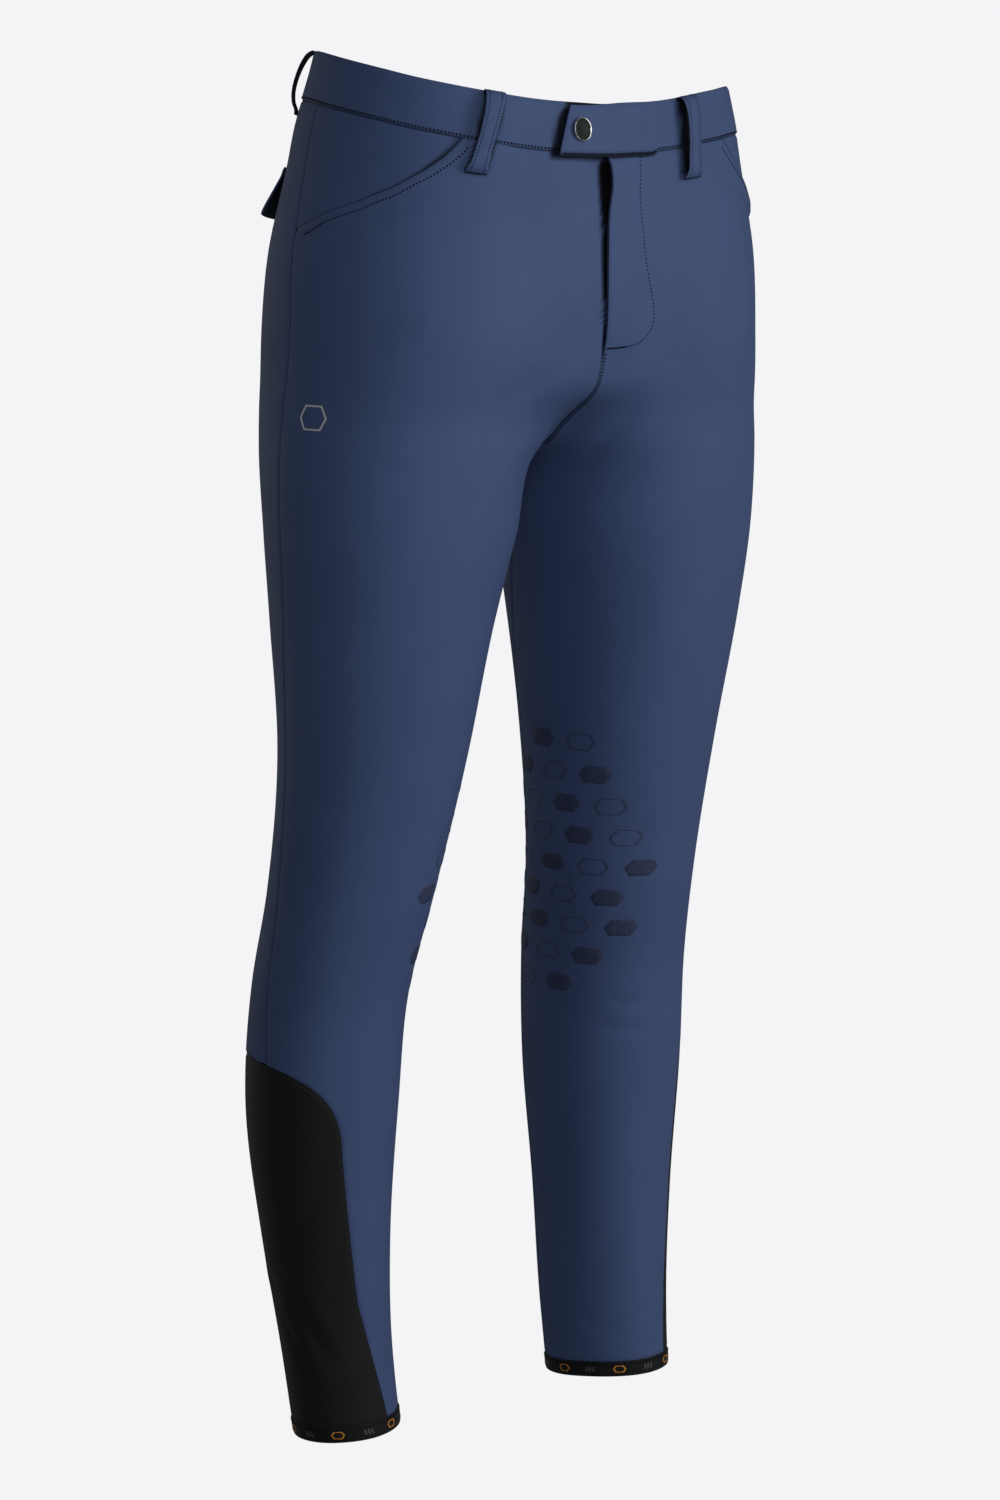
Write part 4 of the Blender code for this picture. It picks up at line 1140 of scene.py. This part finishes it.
FLAP_ROWS = ((70.5, 0.5), (75, 0.9), (81, 2.8), (88, 5.2), (94, 7.2), (98.5, 8.4))
FLAP_FROM, FLAP_TO, FLAP_POINT, FLAP_CLOTH, FLAP_WIDTH = 43, 98, 3, 2.2, 98
FLAP_COLUMNS, FLAP_LINES, FLAP_INSET = 44, 26, (8, -9)
FLAP_ROLL_WIDTH, FLAP_ROLL, FLAP_WAVE, FLAP_RIM = 2.4, 0.8, 0.5, 0.25


def make_flap(side, name):
    rows = np.array(FLAP_ROWS, float)
    share = np.concatenate([np.linspace(0, 0.93, FLAP_LINES), (0.96, 0.98, 0.993, 1)])
    fine = smooth_table(rows, rows[0, 0] + (rows[-1, 0] - rows[0, 0]) * share)
    middle = np.linspace(0.05, 0.95, FLAP_COLUMNS)
    columns = np.concatenate([(0, 0.006, 0.014, 0.03), middle, (0.97, 0.986, 0.994, 1)])
    hang = fine[:, :1] + FLAP_POINT * share[:, None] * np.sin(np.pi * columns)
    level, angles = np.broadcast_arrays(hang, FLAP_FROM + (FLAP_TO - FLAP_FROM) * columns)
    points, normal = base(side, level, angles)
    stand = fine[:, 1:2] + FLAP_WAVE * share[:, None] * np.sin(3 * np.pi * columns + 0.6)
    edge = rolled(points, FLAP_ROLL_WIDTH, FLAP_ROLL)
    turn = (side, 1, 1)
    outer = (points + normal * (stand + FLAP_CLOTH - edge)[..., None]) * turn
    inner = (points + normal * (stand + 0.4 * edge)[..., None]) * turn
    flat_map = np.stack([columns * FLAP_WIDTH + 0 * level, -level], axis=-1)
    # Painted shade darkens the flap's whole inside.
    shut = {"rim": FLAP_RIM, "shut_inside": PAINTED_SHADE_DEPTHS["flap"]}
    piece = cloth_wall("flap_" + name, outer, inner, flat_map, stretch_cloth, **shut)
    declare(piece, "back_flap_" + name)
    first, last = FLAP_INSET

    def round_flap(grid):
        return np.concatenate([grid[:-6, first], grid[-7, first + 1 : last], grid[-7::-1, last]])

    normal = normal * turn
    sewn = [stitches(round_flap(outer), round_flap(normal)), stitches(outer[2, 4:-4], normal[2, 4:-4])]
    joined("flap_sewing_" + name, sewn, stitch_thread_and_pit_shade)


for side, name in SIDES:
    make_flap(side, name)


# ---------------------------------------------------------------- the topstitching
# Rows of short stitches in dark thread, coloured darker still as a painted shade of the needle holes, hold
# the seams flat: along the foot of the waistband, below the pocket mouths, round the fly in a J that ends in
# a bar tack, down the seat and the crotch, and at the hems.

POCKET_STITCH = 6.2  # below the mouth
SEAM_STITCH = 1.6  # beside a seam or an edge
BAND_STITCH = 29.0
BAR_TACK = 22  # points at the end of the J that are sewn close together
FLY_STITCH = (
    *((33, 26), (50, 25.4), (68, 25), (95, 27.5), (122, 31), (140, 35), (152, 37.4)),
    *((162, 37.6), (169, 34.5), (174, 28), (176.5, 20), (177.6, 11), (178, 2)),
)

def band_stitches(side):
    """The row along the foot of the band, from its front end to the middle behind."""
    start = middle_angle(BAND_STITCH, -35.0 if side == LEFT else -12.0, True)
    angles = np.linspace(start, middle_angle(BAND_STITCH, 0.0, False), 400)
    points, _ = base(side, BAND_STITCH, angles, True)
    level = band_bottom(side, points[:, 0]) - SEAM_STITCH
    points, _ = base(side, level, angles, True)
    return laid_on(side, level, angles, BAND_OUTSIDE + band_rise(side, points[:, 0]) - 0.1, True)


def pocket_stitches(side):
    """The row below the pocket mouth, at an even distance from it."""
    level = np.linspace(BAND_DEPTH + 1, POCKET_END - 1.5, 160)
    mouth = straight_table(POCKET_MOUTH, level)
    points, _ = base(side, level, mouth)
    ahead = np.gradient(points, axis=0)
    slope = np.hypot(ahead[:, 0], ahead[:, 1]) / np.linalg.norm(ahead, axis=1)
    level = level + POCKET_STITCH * slope
    moved = zip(level, mouth, -POCKET_STITCH * np.sqrt(1 - slope**2))
    angles = np.array([round_leg(side, at, angle, across) for at, angle, across in moved])
    off = front_rise(side, np.minimum(level, POCKET_END), angles, points[:, 0])[0]
    kept = level < POCKET_END + 3
    return laid_on(side, level[kept], angles[kept], off[kept])


def middle_stitches(side, level, ahead):
    """The row beside the seam at the middle, before or behind."""
    angles = np.array([middle_angle(at, SEAM_STITCH, ahead) for at in level])
    rise = front_rise(side, level, angles, np.full_like(level, SEAM_STITCH))[0] if ahead else 0.0
    return laid_on(side, level, angles, rise)


def topstitch(side, name):
    seat = middle_stitches(side, np.linspace(BAND_DEPTH + 1, FORK - 4, 300), False)
    rows = [band_stitches(side), pocket_stitches(side), seat]
    tack = []
    if side == LEFT:
        numbered = [(index, *place) for index, place in enumerate(FLY_STITCH)]
        _, level, out = smooth_table(numbered, np.linspace(0, len(numbered) - 1, 160)).T
        angles = np.array([middle_angle(*place, True) for place in zip(level, out)])
        off = front_rise(LEFT, level, angles, out)[0]
        rows.append(laid_on(side, level, angles, off))
        end = slice(-BAR_TACK, None)
        tack.append(stitches(*laid_on(side, level[end], angles[end], off[end] + 0.12), pitch=TACK_PITCH))
        rows.append(middle_stitches(side, np.linspace(FLY_END + 3, FORK - 14, 60), True))
    around = np.linspace(-180, 180, 260)
    hem = np.full_like(around, HEM_BAND_TOP + SEAM_STITCH)
    rows.append(laid_on(side, hem, around, HEM_BAND_OUTSIDE - 0.05))
    sewn = [stitches(route, normal) for route, normal in rows] + tack
    joined("topstitching_" + name, sewn, stitch_thread_and_pit_shade)


for side, name in SIDES:
    topstitch(side, name)


# ---------------------------------------------------------------- the knee grips and the thigh mark
# Thin patches of dark silicone are printed inside each knee, filled and outlined by turns, to hold
# on the saddle. A small silver reflective outline is printed on the right thigh.

GRIP_HALF_WIDTH, GRIP_HALF_HEIGHT, GRIP_RISE, GRIP_LINE, GRIP_DRIFT = 12.5, 6.4, 0.22, 1.3, 0.15
GRIP_ROW, GRIP_COLUMN, GRIP_COLUMNS_EACH_WAY = 23, 35, 3
GRIP_LEVELS = (452, 640)
GRIP_MIDDLE_ANGLE, GRIP_LEAN, GRIP_REACH, GRIP_RIGHT_TURN = -170, 0.02, 76, 16
PRINT_OFF = 0.02
MARK_LEVEL, MARK_ANGLE, MARK_SIZE, MARK_LINE = 221, -21, (12.5, 8), 1.1

silicone = thread_material("silicone", (0.038, 0.050, 0.104), 0.62, fineness=0.8)
silicone_line = thread_material("silicone_line", (0.046, 0.064, 0.128), 0.5, fineness=0.8)
reflective = thread_material("reflective", (0.62, 0.64, 0.64), 0.35, metallic=0.35)


def make_grips(side, name):
    filled, outlined = [], []
    rows = int((GRIP_LEVELS[1] - GRIP_LEVELS[0]) / GRIP_ROW) + 1
    for row in range(rows):
        level = GRIP_LEVELS[0] + GRIP_ROW * row
        middle = GRIP_MIDDLE_ANGLE - GRIP_LEAN * GRIP_ROW * row - (GRIP_RIGHT_TURN if side == RIGHT else 0)
        reach = GRIP_REACH * np.sqrt(1 - (0.92 * (2 * row / (rows - 1) - 1)) ** 2)
        for column in range(-GRIP_COLUMNS_EACH_WAY, GRIP_COLUMNS_EACH_WAY + 1):
            across = GRIP_COLUMN * (column + (row % 3) / 3 - 1 / 3)
            if abs(across) > reach:
                continue
            angle = round_leg(side, level, middle, across)
            size = (GRIP_HALF_WIDTH, GRIP_HALF_HEIGHT, PRINT_OFF, GRIP_RISE, GRIP_DRIFT)
            if (row + column) % 2:
                outlined.append(patch(side, level, angle, *size, line=GRIP_LINE))
            else:
                filled.append(patch(side, level, angle, *size))
    joined("grips_filled_" + name, filled, silicone)
    joined("grips_outlined_" + name, outlined, silicone_line)


for side, name in SIDES:
    make_grips(side, name)
thigh_mark = patch(RIGHT, MARK_LEVEL, MARK_ANGLE, *MARK_SIZE, PRINT_OFF, MARK_RISE, line=MARK_LINE)
joined("thigh_mark", [thigh_mark], reflective)


# ---------------------------------------------------------------- the snap
# A press snap closes the tab: a polished nickel ring, pressed through the cloth round a cap of dark
# enamel. The cap is turned a little hollow.

SNAP_OUT, SNAP_LEVEL, SNAP_RADIUS, SNAP_RIM, SNAP_HEIGHT = -20.5, 16.5, 7.4, 1.15, 2.2
SNAP_TURN = 13  # the tab's curl turns the snap this far towards the wearer's left, in degrees


def snap_frame():
    """Where the snap sits on the tab, and which way it faces."""
    angle = middle_angle(SNAP_LEVEL, SNAP_OUT, True)
    points, normal = base(LEFT, SNAP_LEVEL, angle, True)
    off = BAND_OUTSIDE + float(band_rise(LEFT, points[0])) + 0.1
    turn = Vector(normal.tolist()).to_track_quat("Z", "Y").to_matrix().to_4x4()
    turn = Matrix.Rotation(np.radians(SNAP_TURN), 4, "Z") @ turn
    return Matrix.Translation(Vector(((points + normal * off) * MM).tolist())) @ turn


def metal_material(name, colour, roughness, metallic, specular):
    """Polished or enamelled metal, with a smudged gloss."""
    material, tree, shader = new_material(name)
    smudges = {"Vector": add_node(tree, "TexCoord", "Object"), "Scale": 90, "Detail": 5}
    smudges = add_node(tree, "TexNoise", "Fac", smudges)
    gloss = {"To Min": roughness * 0.9, "To Max": roughness * 1.15, "Value": smudges}
    finish = {
        "Base Color": ramp(tree, smudges, *shades(colour, 0.92, 1.06)),
        "Roughness": add_node(tree, "MapRange", "Result", gloss),
        "Metallic": metallic,
        "Specular IOR Level": specular,
    }
    set_inputs(tree, shader, finish)
    return material
def snap_piece(name, material, radius, height, steps, edge):
    """A disc, shaped by insets of its top, with rounded edges, and set on the tab."""
    bpy.ops.object.select_all(action="DESELECT")
    bpy.ops.mesh.primitive_cylinder_add(vertices=64, radius=radius * MM, depth=height * MM)
    piece = bpy.context.object
    piece.name = name
    bpy.ops.object.mode_set(mode="EDIT")
    bpy.ops.mesh.select_all(action="DESELECT")
    form = bmesh.from_edit_mesh(piece.data)
    for face in form.faces:
        face.select_set(face.normal.z > 0.9)
    bmesh.update_edit_mesh(piece.data)
    for thickness, depth in steps:
        bpy.ops.mesh.inset(thickness=thickness * MM, depth=depth * MM)
    bpy.ops.object.mode_set(mode="OBJECT")
    bpy.ops.object.modifier_add(type="BEVEL")
    bevel = piece.modifiers["Bevel"]
    bevel.width, bevel.segments, bevel.limit_method = edge * MM, 3, "ANGLE"
    bpy.ops.object.modifier_apply(modifier="Bevel")
    piece.data.transform(snap_frame() @ Matrix.Translation((0, 0, height / 2 * MM)))
    piece.data.shade_smooth()
    piece.data.set_sharp_from_angle(angle=np.radians(40))
    piece.data.materials.append(material)
    declare(piece, "snap_" + name)


nickel = metal_material("nickel", (0.42, 0.43, 0.42), 0.24, 1.0, 0.5)
enamel = metal_material("enamel", (0.003, 0.009, 0.007), 0.5, 0.0, 0.2)
CAP_RADIUS, CAP_HEIGHT = SNAP_RADIUS - SNAP_RIM - 0.15, SNAP_HEIGHT - 0.45
# The width and the depth of each inset of the top.
RING_STEPS = ((0.55, 0.0), (0.6, -0.5), (0.1, -0.9))
CAP_STEPS = ((0.8, 0.1), (1.2, -0.12), (1.4, -0.18))
snap_piece("ring", nickel, SNAP_RADIUS, SNAP_HEIGHT, RING_STEPS, 0.28)
snap_piece("cap", enamel, CAP_RADIUS, CAP_HEIGHT, CAP_STEPS, 0.25)


# ---------------------------------------------------------------- the studio
# The breeches hang over a pale floor in an evenly pale room, lit by a tall softbox from the
# wearer's front left, a small weak light before the fly, and a faint one from behind.

CAMERA_PLACE, CAMERA_TURN, CAMERA_LENS = (-1.1239, -1.7740, -0.084), (80, 0, -32), 75
BACKDROP, ROOM_LIGHT, FLOOR_LIGHT = (0.905, 0.905, 0.922), (0.118, 0.119, 0.128), (0.14, 0.14, 0.14)
FLOOR_HEIGHT, FLOOR_SIZE = -1.3, 14
# Each light's name, place, target, power, size and colour.
LIGHTS = (
    ("key", (1.5, -2.5, 0.25), (0, 0, -0.42), 48, (1.4, 2.2), (1.0, 0.985, 0.98)),
    ("front", (-0.55, -1.25, 0.2), (-0.11, 0, -0.13), 5.0, (0.5, 0.5), (0.97, 0.98, 1.0)),
    ("rim", (-0.6, 2.6, -0.2), (0, 0, -0.55), 5, (0.8, 1.6), (1.0, 1.0, 1.0)),
)


def seen_as(tree, seen, lit):
    """A light of one colour where the camera sees it, and of another where it lights the cloth."""
    by_camera = add_node(tree, "LightPath", "Is Camera Ray")
    choice = {"Factor": by_camera, "A": (*lit, 1), "B": (*seen, 1)}
    return add_node(tree, "Mix", "Result", choice, data_type="RGBA")


scene = bpy.context.scene
scene.view_settings.view_transform = "Standard"
scene.view_settings.look = "None"
scene.world = bpy.data.worlds.new("studio")
scene.world.use_nodes = True
world_tree = scene.world.node_tree
set_inputs(world_tree, world_tree.nodes["Background"], {"Color": seen_as(world_tree, BACKDROP, ROOM_LIGHT)})

bpy.ops.object.select_all(action="DESELECT")
bpy.ops.mesh.primitive_plane_add(size=FLOOR_SIZE, location=(0, 0, FLOOR_HEIGHT))
floor = bpy.context.object
floor.name = "floor"
pale, floor_tree, _ = new_material("pale_floor")
glow = add_node(floor_tree, "Emission", "Emission", {"Color": seen_as(floor_tree, BACKDROP, FLOOR_LIGHT)})
set_inputs(floor_tree, floor_tree.nodes["Material Output"], {"Surface": glow})
floor.data.materials.append(pale)

for name, place, target, power, size, colour in LIGHTS:
    light = bpy.data.lights.new(name, "AREA")
    light.shape, light.size, light.size_y = "RECTANGLE", *size
    light.energy, light.color = power, colour
    lamp = bpy.data.objects.new(name, light)
    lamp.location = place
    lamp.rotation_euler = (Vector(target) - Vector(place)).to_track_quat("-Z", "Y").to_euler()
    scene.collection.objects.link(lamp)

camera = bpy.data.objects.new("camera", bpy.data.cameras.new("camera"))
camera.data.lens = CAMERA_LENS
camera.location = CAMERA_PLACE
camera.rotation_euler = [np.radians(turn) for turn in CAMERA_TURN]
scene.collection.objects.link(camera)
scene.camera = camera
